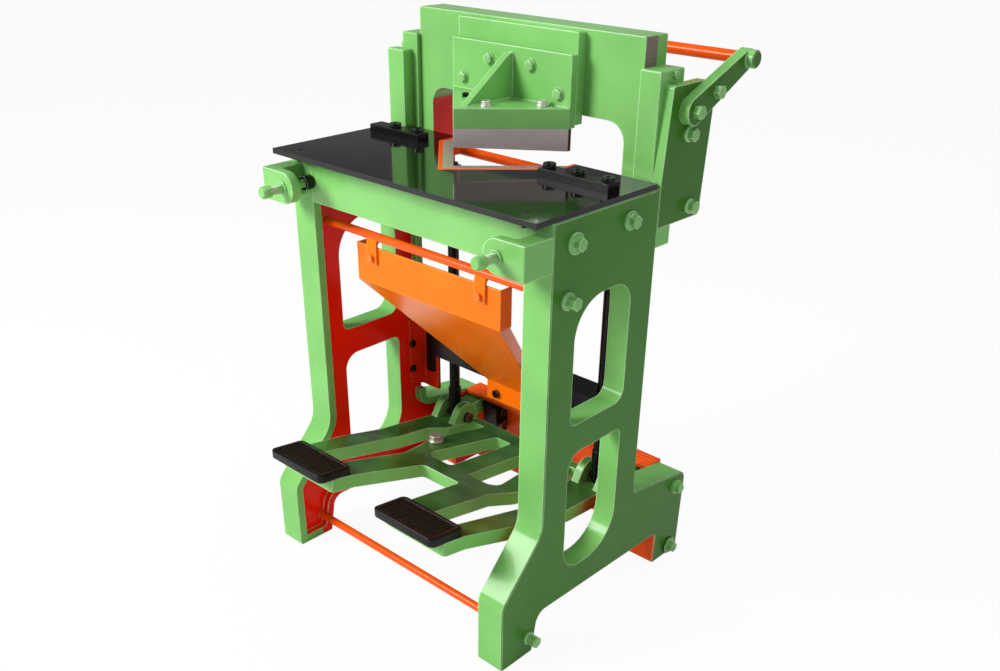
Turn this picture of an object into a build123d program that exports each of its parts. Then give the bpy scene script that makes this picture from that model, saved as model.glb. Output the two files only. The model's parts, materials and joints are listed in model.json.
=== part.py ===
from build123d import *
import os
from math import atan, cos, hypot, radians, sin, sqrt, tan

# Foot-operated corner notcher. Millimetres, +Z up, +Y towards the back, X across.
# Origin: on the floor, in the middle of the machine's width and depth.

os.makedirs("parts", exist_ok=True)

# ---------------------------------------------------------------- driving sizes
# Whole machine
frame_width = 680.0        # over the outer faces of the two side frames
working_height = 870.0     # top of the table
slide_clearance = 0.15     # each side of the crosshead and its tongues
shaft_clearance = 0.08     # radial, shafts and pins that turn
bolt_clearance = 0.5       # radial, bolts and rods in their holes

# Side frames: cast plates with a rim on the inner side
frame_thickness = 62.0
web_thickness = 46.0
rim_width = 18.0
frame_edge = 2.0           # chamfer round the castings
leg_front = -167.0         # front face of the front legs
column_depth = 290.0       # front face of the legs to the back of the columns
toe_reach = 108.0          # front foot, ahead of the leg
toe_height = 150.0
front_foot_length = 89.0
flare_top = 268.0
underside = 84.0           # under the base between the feet
heel_depth = 98.0          # rear foot, front to back
heel_reach = 194.0         # rear foot, behind the column
heel_top = 199.0
base_top = 230.0           # where the base meets the back of the column
window_front = 67.0        # from the leg's front face to the windows
window_rear = 66.0         # from the windows to the column's back
upper_window_bottom = 468.0
upper_window_drop = 150.0  # window's top below the frame's
lower_window_bottom, lower_window_top = 143.0, 408.0

# Table and die
table_thickness = 10.0
table_depth = 324.0
table_front_overhang = 42.0
table_inset = 2.0          # table edge inside the frames' outer faces
table_hole_inset_x, table_hole_inset_y = 48.0, 26.0
countersink_radius = 11.0
notch_vertex = -93.0       # front corner of the cut-out in the table
notch_half_width = 157.0
band_width = 8.0           # edge frame between the table and the die blades
die_width = 20.0
die_height = 20.0
die_joint = 85.0           # joint between the two blades of one side, across
die_gap = 1.0
shear_clearance = 0.1      # upper blade to die blade
side_clearance = 1.0       # bracket to the straight sides of the cut-out
die_ledge_thickness = 14.0
holder_flange = 10.0

# Fence bars
fence_height = 15.0
fence_depth = 32.0
right_fence_start, right_fence_end, right_fence_front = 156.0, 314.0, 3.0
left_fence_start, left_fence_end, left_fence_front = 176.0, 316.0, 21.0
fence_screw_head = 12.0    # radius
fence_screw_height = 15.0
fence_screw_pitch = 66.0
fence_screw_inset = 14.0
fence_screw_socket = 5.5   # radius over the corners
fence_socket_depth = 7.0

# Upper blade, bracket and crosshead
blade_thickness = 12.0
blade_height = 33.0        # at the front corner
blade_rake = 7.0           # how much lower the cutting edge is at the ends
blade_open = 33.0          # front corner of the edge above the table at rest
flange_height = 36.0
bracket_thickness = 16.0
bracket_height = 127.0     # flange and upright together
gusset_thickness = 14.0
gusset_drop = 12.0         # gusset's top below the upright's
gusset_top_reach = 8.0
gusset_foot_inset = 26.0
spacer_thickness = 20.0
spacer_drop = 32.0         # spacer's lower edge below the flange's top
spacer_top_gap = 4.0       # spacer's top below the crosshead's
crosshead_thickness = 63.0
crosshead_setback = 10.0   # front of the crosshead behind the back of the columns
crosshead_rise = 233.0     # top above the table
arch_half_width = 245.0
arch_rise = 85.0
arch_radius = 36.0
leg_drop = 135.0           # lower ends of the crosshead's legs below the table
leg_foot_height = 43.0
leg_foot_inset = 82.0      # width of the feet that take the rods
tongue_depth = 13.0
tongue_width = 24.0
tongue_drop = 103.0        # tongue's top below the crosshead's
groove_overrun = 12.0

# Guide rails, keeper strip, cheeks, arms
rail_width = 42.0
rail_depth = 70.0
rail_drop, rail_rise = 130.0, 183.0
keeper_width = 46.0
keeper_depth = 25.0
keeper_rise = 152.0
cheek_thickness = 20.0
cheek_depth = 143.0
cheek_drop, cheek_rise = 83.0, 160.0
cheek_slant = 14.0
arm_thickness = 20.0
arm_half_height = 24.0
arm_tip_half_height = 17.0
arm_pivot_y, arm_pivot_rise = 181.0, 116.0
arm_tip_y, arm_tip_rise = 339.0, 186.0
arm_bolt_pitch = 64.0
boss_length = 15.0
top_bar_radius = 11.0

# Front beam, lugs and adjusting screws
beam_height = 93.0
beam_depth = 72.0
beam_wall = 12.0
beam_end_block = 24.0
lug_reach = 69.0
lug_lip = 19.0
lug_arm = 35.0
lug_height = 61.0
lug_drop = 21.0            # lug's top below the frame's
lug_corner = 8.0
screw_inset = 61.0         # screw axis from the frame's outer face
screw_radius = 8.0
screw_neck_radius = 6.5
screw_head_radius = 11.5
screw_head_length = 20.0
screw_neck_length = 8.0
screw_reach = 50.0         # head's face ahead of the lug
screw_pad_radius = 14.0
screw_pad_length = 20.0
screw_pad_gap = 0.3        # pad off the beam's face
lock_collar_radius = 13.0
lock_collar_length = 4.0

# Cross rods
upper_rod_y, upper_rod_drop = -127.0, 150.0
lower_rod_y, lower_rod_z = -200.0, 42.0
rod_radius = 8.5
rear_rod_y, rear_rod_drop = 217.0, 60.0
rear_rod_radius = 10.0

# Rear channel and treadle pivot
pivot_y, pivot_z = 280.0, 175.0
pivot_radius = 11.0
pivot_collar_radius, pivot_collar_length = 16.0, 7.0
pivot_end_length = 11.0
channel_top = 206.0
channel_bottom = 34.0
channel_flange = 52.0
channel_wall = 8.0
channel_rear_inset = 6.0
block_width = 42.0
block_inner = 176.0
block_height = 84.0
block_rise = 22.0          # block's top above the pivot
block_bolt_drop = 38.0
shaft_end_proud = 12.0

# Treadle
treadle_thickness = 30.0   # straight down
treadle_pivot_drop = 2.0   # top face, carried on to the pivot, below its axis
rear_pitch, arm_pitch, plate_pitch = 7.2, 13.7, 7.4  # degrees, each part's rise to the front
knee_rear = -31.0          # where the arms start to rise more steeply
plate_inner, plate_outer = 80.0, 240.0
body_front = -99.0         # front edge of the treadle between its inner arms
body_half = 54.0
body_rear = 198.0
outer_arm_half = 262.0
rib_half = 27.0            # rib between the two slots
slot_front, slot_rear = -46.0, 151.0
slot_front_outer, slot_rear_outer = 106.0, 72.0
gap_inner, gap_outer = 138.0, 198.0   # gap between the arms, at the plates
gap_waist_inner, gap_waist_outer = 151.0, 207.0
gap_rear = 171.0
hub_radius = 20.0
hub_inner, hub_outer = 230.0, 272.0
pad_inner, pad_outer = 78.0, 240.0
pad_front = -356.0
pad_depth = 83.0
pad_overhang = 30.0        # pad ahead of its plate
pad_thickness = 18.0
pad_radius = 12.0
pad_edge = 2.5
treadle_bolt_x, treadle_bolt_y = -139.0, 20.0
treadle_boss_radius, treadle_boss_height = 16.0, 3.0
treadle_bolt_head, treadle_bolt_height = 11.0, 9.0
pin_y, pin_z = 162.2, 199.0
pin_radius = 8.0
pin_head_radius, pin_head_length = 9.0, 10.0
clevis_gap = 40.0
clevis_cheek = 18.0
clevis_radius = 34.0
clevis_foot_front, clevis_foot_rear = 42.0, 34.0

# Connecting rods and their guide
link_x, link_y = 218.0, 161.0
link_radius = 12.5
sleeve_radius = 15.0
sleeve_top = 266.0
eye_slack = 1.5            # radial, where the closed linkage is opened
trough_clearance = 3.0     # round the rod's lower end in the treadle
link_nut_height = 14.0
link_nut_radius = 20.0
link_end_proud = 6.0
guide_front_gap = 2.0      # guide bar behind the back of the columns
guide_top, guide_bottom = 402.0, 350.0
guide_half = 275.0
guide_depth = 66.0
guide_wall = 7.0
guide_leg_bottom = 306.0
guide_leg_width = 22.0
guide_tab_bottom = 302.0
guide_tab_half = 66.0
leaf_reach = 39.0          # guide angle's front edge ahead of the back of the columns
leaf_bottom, leaf_top = 262.0, 440.0
leaf_slant = 20.0
leaf_wall = 8.0
leaf_depth = 50.0          # of the leaf behind the guide bar
leaf_seat_margin = 4.0
dome_radius, dome_height = 9.5, 6.0
guide_bolt_radius = 5.0
guide_bolt_length = 30.0
guide_bolt_inset = 32.0
guide_bolt_low, guide_bolt_high = 316.0, 380.0

# Chute
chute_half_width = 194.0
chute_wall = 4.0
chute_flange = 30.0
chute_panel_drop = 21.0    # panel's top below the rod it hangs from
chute_panel_height = 77.0
spout_half_width = 74.0
spout_bottom = 306.0
spout_bolt_x, spout_bolt_z = 45.0, 324.0
strap_x = 146.0
strap_width = 27.0
strap_thickness = 8.0
strap_drop = 54.0          # strap's lower end below the rod
strap_ring = 6.0
rivet_radius, rivet_shank, rivet_height = 7.0, 3.5, 3.5
rivet_drop = 42.0

# Bolts on the outer faces
bolt_radius = 8.0
bolt_head = 12.0
bolt_head_height = 13.0
rod_nut_height = 20.0
washer_radius = 19.0
washer_thickness = 5.0
bracket_bolt_head = 10.0
bracket_bolt_height = 7.0
upper_bolt_x, upper_bolt_drop = 52.0, 29.0    # below the bracket's top
lower_bolt_x, lower_bolt_drop = 120.0, 70.0
blade_bolt_near, blade_bolt_far = 26.0, 98.0  # across, on the right blade
blade_screw_x = 58.0                          # across, on the left blade
blade_bolt_setback = 34.0                     # behind the blade's cutting corner line
flange_washer_rim, flange_washer_thickness = 2.0, 2.0
set_screw_radius, set_screw_height = 6.5, 7.0
set_screw_socket = 3.5

# ---------------------------------------------------------------- worked out
half_width = frame_width / 2
web_inner = half_width - web_thickness
rim_inner = half_width - frame_thickness
frame_top = working_height - table_thickness
upper_window_top = frame_top - upper_window_drop
crosshead_top = working_height + crosshead_rise
arch_top = working_height + arch_rise
leg_bottom = working_height - leg_drop
leg_foot_top = leg_bottom + leg_foot_height
tongue_top = crosshead_top - tongue_drop
rail_bottom, rail_top = working_height - rail_drop, working_height + rail_rise
keeper_top = working_height + keeper_rise
cheek_bottom, cheek_top = working_height - cheek_drop, working_height + cheek_rise
arm_pivot_z, arm_tip_z = working_height + arm_pivot_rise, working_height + arm_tip_rise
lug_top = frame_top - lug_drop
upper_rod_z = working_height - upper_rod_drop
rear_rod_z = working_height - rear_rod_drop
chute_panel_top = upper_rod_z - chute_panel_drop
chute_panel_bottom = chute_panel_top - chute_panel_height
strap_bottom = upper_rod_z - strap_drop
rivet_z = upper_rod_z - rivet_drop
column_rear = leg_front + column_depth
heel_rear = column_rear + heel_reach
table_front = leg_front - table_front_overhang
table_rear = table_front + table_depth
table_half = half_width - table_inset
crosshead_front = column_rear + crosshead_setback
crosshead_half = rim_inner - slide_clearance
spacer_front = crosshead_front - spacer_thickness
bracket_front = spacer_front - bracket_thickness
edge_z = working_height + blade_open
flange_bottom = edge_z + blade_height
flange_top = flange_bottom + flange_height
bracket_top = flange_bottom + bracket_height
band_vertex = notch_vertex + band_width * sqrt(2)
band_half = notch_half_width - band_width
die_vertex = band_vertex + die_width * sqrt(2)
holder_bottom = working_height - die_height - die_ledge_thickness
holder_vertex = notch_vertex - holder_flange * sqrt(2)
blade_vertex = die_vertex + shear_clearance * sqrt(2)
blade_half = band_half - side_clearance
beam_bottom = frame_top - beam_height
beam_rear = leg_front + beam_depth
beam_mid_y = (leg_front + beam_rear) / 2
beam_mid_z = frame_top - beam_height / 2
lug_front = leg_front - lug_reach
lug_back = lug_front + lug_lip
screw_x = half_width - screw_inset
screw_z = lug_top - lug_height / 2
screw_front = lug_front - screw_reach
cheek_rear = column_rear + cheek_depth
rail_outer = rim_inner + rail_width
guide_front = column_rear + guide_front_gap
channel_rear = heel_rear - channel_rear_inset
channel_inner = channel_rear - channel_wall
panel_front = upper_rod_y - rod_radius + strap_thickness / 2
plate_front = pad_front + pad_overhang
plate_rear = pad_front + pad_depth
clevis_outer = link_x + clevis_gap / 2 + clevis_cheek
clevis_inner = link_x - clevis_gap / 2 - clevis_cheek
both_sides = (-1, 1)


def save(piece, name):
    """Label a finished piece and write it under its own name."""
    piece.part.label = name
    export_step(piece.part, f"parts/{name}.step")


def save_pair(right, name):
    """Write the right-hand piece and its mirror image on the left."""
    save(right, f"{name}_right")
    with BuildPart() as left:
        mirror(right.part, about=Plane.YZ)
    save(left, f"{name}_left")


def rounded(points):
    """Closed outline through (a, b, corner radius) points."""
    corners = [(a, b) for a, b, r in points]
    FilletPolyline(*corners, radius=[r for a, b, r in points], close=True)


def beside(x):
    """Plane across the machine at X = x, its own axes being Y and Z."""
    return Plane.YZ.offset(x)


def facing_front(y):
    """Plane at Y = y whose sketches are extruded forwards, axes X and Z."""
    return Plane.XZ.offset(-y)


def notch_outline(vertex, half):
    """Corner-shaped area, 45 degree sides from the vertex, open at the table's back."""
    Polyline(
        (0, vertex), (half, vertex + half), (half, table_rear),
        (-half, table_rear), (-half, vertex + half),
        close=True,
    )


def treadle_top(y):
    """Height of the treadle's top face at Y = y; it rises to the front at three pitches."""
    rise = (pivot_y - max(y, knee_rear)) * tan(radians(rear_pitch))
    rise += (knee_rear - min(max(y, plate_rear), knee_rear)) * tan(radians(arm_pitch))
    rise += (plate_rear - min(y, plate_rear)) * tan(radians(plate_pitch))
    return pivot_z - treadle_pivot_drop + rise


# ---------------------------------------------------------------- side frames
beam_bolt = (leg_front + 54, frame_top - 43)
support_bolt = (column_rear - 86, frame_top - 38)
foot_bolt = (channel_rear - 34, channel_bottom - 12)
rear_rod_bolt = (rear_rod_y, rear_rod_z)
cheek_bolt = (column_rear + rail_depth - 1, cheek_top - 86)
guide_bolt_y = column_rear - guide_bolt_inset

frame_outline = [
    (leg_front, frame_top, 0),
    (leg_front, flare_top, 60),
    (leg_front - toe_reach, toe_height, 30),
    (leg_front - toe_reach, 0, 5),
    (leg_front - toe_reach + front_foot_length, 0, 5),
    (leg_front - 4, underside, 26),
    (heel_rear - heel_depth + 2, underside - 6, 12),
    (heel_rear - heel_depth, 0, 5),
    (heel_rear - 6, 0, 5),
    (heel_rear, heel_top, 20),
    (column_rear, base_top, 16),
    (column_rear, frame_top, 0),
]

with BuildPart() as frame:
    with BuildSketch(beside(rim_inner)) as frame_profile:
        with BuildLine():
            rounded(frame_outline)
        make_face()
    extrude(amount=frame_thickness)
    chamfer(frame.edges().filter_by(Plane.YZ).group_by(Axis.X)[-1], frame_edge)
    # pocket on the inner side, leaving a rim along the edges; the seats of the
    # beam at the top stay at full thickness
    with BuildSketch(beside(rim_inner)):
        add(frame_profile.sketch_local)
        offset(amount=-rim_width, kind=Kind.INTERSECTION, mode=Mode.REPLACE)
        with Locations(((leg_front + column_rear) / 2, beam_mid_z)):
            Rectangle(column_depth, beam_height, mode=Mode.SUBTRACT)
        # seat of the guide angle, open at the back
        with Locations((column_rear, (leaf_bottom + leaf_top) / 2)):
            Rectangle(2 * (leaf_reach + 1), leaf_top - leaf_bottom + 2 * leaf_seat_margin)
    extrude(amount=frame_thickness - web_thickness, mode=Mode.SUBTRACT)
    # two windows
    front, rear = leg_front + window_front, column_rear - window_rear
    with BuildSketch(beside(rim_inner)):
        with BuildLine():
            rounded([
                (front, upper_window_bottom, 16), (rear, upper_window_bottom, 26),
                (rear, upper_window_top, 46), (front, upper_window_top, 78),
            ])
        make_face()
        with BuildLine():
            rounded([
                (front, lower_window_bottom, 50), (rear, lower_window_bottom, 84),
                (rear, lower_window_top, 16), (front, lower_window_top, 36),
            ])
        make_face()
    extrude(amount=frame_thickness, mode=Mode.SUBTRACT)
    # holes for the bolts, the cross rods and the pivot shaft
    with BuildSketch(beside(rim_inner)):
        with Locations(beam_bolt, support_bolt, foot_bolt):
            Circle(bolt_radius + bolt_clearance)
        with Locations((upper_rod_y, upper_rod_z), (lower_rod_y, lower_rod_z)):
            Circle(rod_radius)
        with Locations((pivot_y, pivot_z)):
            Circle(pivot_radius)
    extrude(amount=frame_thickness, mode=Mode.SUBTRACT)
    with BuildSketch(beside(web_inner)):
        with Locations((guide_bolt_y, guide_bolt_low), (guide_bolt_y, guide_bolt_high)):
            Circle(guide_bolt_radius)
    extrude(amount=guide_bolt_length, mode=Mode.SUBTRACT)
save_pair(frame, "side_frame")

# ---------------------------------------------------------------- front beam
with BuildPart() as front_beam:
    with BuildSketch(beside(-rim_inner)):
        with Locations((beam_mid_y, beam_mid_z)):
            Rectangle(beam_depth, beam_height)
    extrude(amount=2 * rim_inner)
    # channel open at the back, with a solid block at each end
    with BuildSketch(beside(-rim_inner + beam_end_block)):
        with Locations((beam_mid_y + beam_wall, beam_mid_z)):
            Rectangle(beam_depth, beam_height - 2 * beam_wall)
    extrude(amount=2 * (rim_inner - beam_end_block), mode=Mode.SUBTRACT)
    # relief in the top wall for the corner of the die holder
    with BuildSketch(Plane.XY.offset(holder_bottom - 1)):
        with BuildLine():
            notch_outline(holder_vertex - 1.5, notch_half_width + holder_flange)
        make_face()
    extrude(amount=frame_top - holder_bottom + 1, mode=Mode.SUBTRACT)
    with BuildSketch(beside(-rim_inner)):
        with Locations(beam_bolt):
            Circle(bolt_radius + bolt_clearance)
    extrude(amount=2 * rim_inner, mode=Mode.SUBTRACT)
    front_edges = front_beam.edges().filter_by(Axis.X).group_by(Axis.Y)[0]
    chamfer(front_edges, frame_edge)
save(front_beam, "front_beam")

# ---------------------------------------------------------------- lugs and screws
with BuildPart() as lug:
    with BuildSketch(Plane.XY.offset(lug_top)):
        with BuildLine():
            rounded([
                (half_width, leg_front, 0), (half_width, lug_front, 3),
                (screw_x - lug_height / 2, lug_front, 0), (screw_x - lug_height / 2, lug_back, 0),
                (half_width - lug_arm, lug_back, lug_corner), (half_width - lug_arm, leg_front, 0),
            ])
        make_face()
    extrude(amount=-lug_height)
    fillet(lug.edges().filter_by(Axis.Y).group_by(Axis.X)[0], lug_height / 2 - 0.5)
    with BuildSketch(facing_front(lug_back)):
        with Locations((screw_x, screw_z)):
            Circle(screw_radius + shaft_clearance)
    extrude(amount=lug_lip, mode=Mode.SUBTRACT)
save_pair(lug, "lug")

pad_face = leg_front - screw_pad_gap
with BuildPart() as adjusting_screw:
    # half profile from the pad to the head, then turned about the screw's axis
    with BuildSketch(Plane.XY.offset(screw_z)):
        with BuildLine():
            Polyline(
                (screw_x, pad_face),
                (screw_x + screw_pad_radius - 2, pad_face),
                (screw_x + screw_pad_radius, pad_face - 2),
                (screw_x + screw_pad_radius, pad_face - screw_pad_length),
                (screw_x + screw_radius, pad_face - screw_pad_length),
                (screw_x + screw_radius, screw_front + screw_head_length + screw_neck_length),
                (screw_x + screw_neck_radius, screw_front + screw_head_length + screw_neck_length),
                (screw_x + screw_neck_radius, screw_front + screw_head_length),
                (screw_x + screw_head_radius, screw_front + screw_head_length),
                (screw_x + screw_head_radius, screw_front + 3),
                (screw_x + screw_head_radius - 3, screw_front),
                (screw_x, screw_front),
                close=True,
            )
        make_face()
    revolve(axis=Axis((screw_x, 0, screw_z), (0, 1, 0)))
save_pair(adjusting_screw, "adjusting_screw")

with BuildPart() as lock_collars:
    with BuildSketch(facing_front(lug_front)):
        with Locations((-screw_x, screw_z), (screw_x, screw_z)):
            Circle(lock_collar_radius)
            Circle(screw_radius + shaft_clearance, mode=Mode.SUBTRACT)
    extrude(amount=lock_collar_length)
save(lock_collars, "lock_collars")

# ---------------------------------------------------------------- table
table_hole_x = table_half - table_hole_inset_x
table_hole_y = table_front + table_hole_inset_y
table_screw_radius = countersink_radius - 6
with BuildPart() as table:
    with BuildSketch(Plane.XY.offset(frame_top)):
        with Locations((0, (table_front + table_rear) / 2)):
            Rectangle(2 * table_half, table_depth)
        with BuildLine():
            notch_outline(notch_vertex, notch_half_width)
        make_face(mode=Mode.SUBTRACT)
    extrude(amount=table_thickness)
    with Locations((table_hole_x, table_hole_y, working_height),
                   (-table_hole_x, table_hole_y, working_height)):
        CounterSinkHole(table_screw_radius, countersink_radius, counter_sink_angle=90)
save(table, "table_plate")

with BuildPart() as table_screws:
    with Locations((table_hole_x, table_hole_y, working_height - 0.5),
                   (-table_hole_x, table_hole_y, working_height - 0.5)):
        Cone(table_screw_radius, countersink_radius - 0.5, 5.5,
             align=(Align.CENTER, Align.CENTER, Align.MAX))
        Cylinder(table_screw_radius - bolt_clearance, table_thickness + 11.5,
                 align=(Align.CENTER, Align.CENTER, Align.MAX))
    # nuts under the table
    with BuildSketch(Plane.XY.offset(frame_top)):
        with Locations((table_hole_x, table_hole_y), (-table_hole_x, table_hole_y)):
            RegularPolygon(9, 6)
    extrude(amount=-8)
save(table_screws, "table_screws")

# ---------------------------------------------------------------- die holder and die
with BuildPart() as die_holder:
    for outer, outer_half, inner, inner_half, low, high in (
        # thin band round the blades, level with the table
        (notch_vertex, notch_half_width, band_vertex, band_half,
         working_height - die_height, working_height),
        # ledge that carries the blades
        (notch_vertex, notch_half_width, die_vertex, band_half,
         holder_bottom, working_height - die_height),
        # flange under the table
        (holder_vertex, notch_half_width + holder_flange, notch_vertex, notch_half_width,
         holder_bottom, frame_top),
    ):
        with BuildSketch(Plane.XY.offset(low)):
            with BuildLine():
                notch_outline(outer, outer_half)
            make_face()
            with BuildLine():
                notch_outline(inner, inner_half)
            make_face(mode=Mode.SUBTRACT)
        extrude(amount=high - low)
save(die_holder, "die_holder")

# the joint is square to the 45 degree blade, hence the shift across its width
joint_shift = die_width / sqrt(2)
with BuildPart() as die_front:
    with BuildSketch(Plane.XY.offset(working_height - die_height)):
        with BuildLine():
            Polyline(
                (0, band_vertex), (die_joint, band_vertex + die_joint),
                (die_joint - joint_shift, die_vertex + die_joint - joint_shift), (0, die_vertex),
                close=True,
            )
        make_face()
    extrude(amount=die_height)
save_pair(die_front, "die_blade_front")

second = die_joint + die_gap / sqrt(2)
with BuildPart() as die_rear:
    with BuildSketch(Plane.XY.offset(working_height - die_height)):
        with BuildLine():
            Polyline(
                (second, band_vertex + second), (band_half, band_vertex + band_half),
                (band_half, die_vertex + band_half),
                (second - joint_shift, die_vertex + second - joint_shift),
                close=True,
            )
        make_face()
    extrude(amount=die_height)
save_pair(die_rear, "die_blade_rear")

# ---------------------------------------------------------------- fences
fence_screw_places = []
for name, side, start, end, front, screws in (
    ("fence_right", 1, right_fence_start, right_fence_end, right_fence_front, 3),
    ("fence_left", -1, left_fence_start, left_fence_end, left_fence_front, 2),
):
    fence_mid_y = front + fence_depth / 2
    with BuildPart() as fence:
        with BuildSketch(Plane.XY.offset(working_height)):
            with Locations((side * (start + end) / 2, fence_mid_y)):
                Rectangle(end - start, fence_depth)
        extrude(amount=fence_height)
        chamfer(fence.faces().sort_by(Axis.Z)[-1].edges(), 1)
    save(fence, name)
    for n in range(screws):
        screw_place = side * (start + fence_screw_inset + fence_screw_pitch * n)
        fence_screw_places.append((screw_place, fence_mid_y))

with BuildPart() as fence_screws:
    with BuildSketch(Plane.XY.offset(working_height + fence_height)):
        with Locations(fence_screw_places):
            Circle(fence_screw_head)
    extrude(amount=fence_screw_height)
    chamfer(fence_screws.edges().group_by(Axis.Z)[-1], 1.2)
    with BuildSketch(Plane.XY.offset(working_height + fence_height + fence_screw_height)):
        with Locations(fence_screw_places):
            RegularPolygon(fence_screw_socket, 6)
    extrude(amount=-fence_socket_depth, mode=Mode.SUBTRACT)
save(fence_screws, "fence_screws")

# ---------------------------------------------------------------- guide rails
tongue_mid = crosshead_front + crosshead_thickness / 2
with BuildPart() as rail:
    with BuildSketch(Plane.XY.offset(rail_bottom)):
        with Locations(((rim_inner + rail_outer) / 2, column_rear + rail_depth / 2)):
            Rectangle(rail_width, rail_depth)
    extrude(amount=rail_top - rail_bottom)
    chamfer(rail.faces().sort_by(Axis.Z)[-1].edges(), 1.5)
    with BuildSketch(Plane.XY.offset(rail_bottom)):
        with Locations((rim_inner + tongue_depth / 2, tongue_mid)):
            Rectangle(tongue_depth, tongue_width)
    extrude(amount=tongue_top + groove_overrun - rail_bottom, mode=Mode.SUBTRACT)
save_pair(rail, "guide_rail")

with BuildPart() as keeper:
    with BuildSketch(Plane.XY.offset(working_height)):
        with Locations((1 + keeper_width / 2 - half_width, column_rear - keeper_depth / 2)):
            Rectangle(keeper_width, keeper_depth)
    extrude(amount=keeper_top - working_height)
    chamfer(keeper.faces().sort_by(Axis.Z)[-1].edges(), 1.5)
save(keeper, "keeper_strip_left")

# ---------------------------------------------------------------- cheeks
with BuildPart() as cheek:
    with BuildSketch(beside(rail_outer)):
        with BuildLine():
            rounded([
                (column_rear, cheek_bottom, 0),
                (column_rear, working_height, 0),
                (column_rear + cheek_slant, cheek_top, 5),
                (cheek_rear - 26, cheek_top, 10),
                (cheek_rear, cheek_top - 54, 10),
                (cheek_rear - 12, cheek_bottom, 8),
            ])
        make_face()
        with Locations(rear_rod_bolt, cheek_bolt):
            Circle(bolt_radius + bolt_clearance, mode=Mode.SUBTRACT)
    extrude(amount=cheek_thickness)
save_pair(cheek, "cheek")

# ---------------------------------------------------------------- arms and top bar
arm_angle = atan((arm_tip_z - arm_pivot_z) / (arm_tip_y - arm_pivot_y))
with BuildPart() as arm:
    with BuildSketch(beside(half_width)):
        with Locations((arm_pivot_y, arm_pivot_z)):
            Circle(arm_half_height)
        with Locations((arm_tip_y, arm_tip_z)):
            Circle(arm_tip_half_height)
        make_hull()
    extrude(amount=arm_thickness)
    with BuildSketch(beside(half_width + arm_thickness)):
        with Locations((arm_tip_y, arm_tip_z)):
            Circle(arm_tip_half_height - 1)
    extrude(amount=boss_length)
    chamfer(arm.edges().filter_by(GeomType.CIRCLE).group_by(Axis.X)[-1], 2)
    with BuildSketch(beside(half_width)):
        with Locations((arm_tip_y, arm_tip_z)):
            Circle(top_bar_radius)
    extrude(amount=arm_thickness - 4, mode=Mode.SUBTRACT)
save_pair(arm, "rear_arm")

# ---------------------------------------------------------------- bars across
for name, y, z, radius, reach in (
    ("rear_top_bar", arm_tip_y, arm_tip_z, top_bar_radius, half_width + arm_thickness - 4),
    ("upper_front_rod", upper_rod_y, upper_rod_z, rod_radius, half_width),
    ("lower_front_rod", lower_rod_y, lower_rod_z, rod_radius, half_width),
    ("rear_upper_rod", rear_rod_y, rear_rod_z, rear_rod_radius, rail_outer),
):
    with BuildPart() as cross_rod:
        with BuildSketch(beside(-reach)):
            with Locations((y, z)):
                Circle(radius)
        extrude(amount=2 * reach)
    save(cross_rod, name)

# ---------------------------------------------------------------- rear channel
with BuildPart() as channel:
    with BuildSketch(beside(-rim_inner)):
        with Locations((channel_rear - channel_wall / 2, (channel_top + channel_bottom) / 2)):
            Rectangle(channel_wall, channel_top - channel_bottom)
        for z in (channel_top - channel_wall / 2, channel_bottom + channel_wall / 2):
            with Locations((channel_rear - channel_flange / 2, z)):
                Rectangle(channel_flange, channel_wall)
    extrude(amount=2 * rim_inner)
save(channel, "rear_channel")

# ---------------------------------------------------------------- treadle pivot
block_top = pivot_z + block_rise
block_bolt_z = pivot_z - block_bolt_drop
with BuildPart() as pivot_bracket:
    with BuildSketch(beside(block_inner)):
        with BuildLine():
            rounded([
                (pivot_y - 22, block_top, 12), (channel_inner, block_top, 0),
                (channel_inner, block_top - block_height, 0),
                (pivot_y - 14, block_top - block_height, 8),
            ])
        make_face()
        with Locations((pivot_y, pivot_z)):
            Circle(pivot_radius, mode=Mode.SUBTRACT)
        with Locations((pivot_y, block_bolt_z)):
            Circle(bolt_radius, mode=Mode.SUBTRACT)
    extrude(amount=block_width)
save_pair(pivot_bracket, "pivot_bracket")

with BuildPart() as pivot_shaft:
    for start, length, radius in (
        (block_inner - shaft_end_proud, half_width - block_inner + shaft_end_proud, pivot_radius),
        (half_width, pivot_collar_length, pivot_collar_radius),
        (half_width + pivot_collar_length, pivot_end_length, pivot_radius),
    ):
        with BuildSketch(beside(start)):
            with Locations((pivot_y, pivot_z)):
                Circle(radius)
        extrude(amount=length)
    chamfer(pivot_shaft.edges().filter_by(GeomType.CIRCLE).group_by(Axis.X)[-1], 2)
save_pair(pivot_shaft, "pivot_shaft")

with BuildPart() as block_bolts:
    for side in both_sides:
        with BuildSketch(beside(side * (block_inner - shaft_end_proud))):
            with Locations((pivot_y, block_bolt_z)):
                Circle(bolt_head)
        extrude(amount=side * shaft_end_proud)
        with BuildSketch(beside(side * block_inner)):
            with Locations((pivot_y, block_bolt_z)):
                Circle(bolt_radius)
        extrude(amount=side * block_width)
save(block_bolts, "pivot_bracket_bolts")

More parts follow.
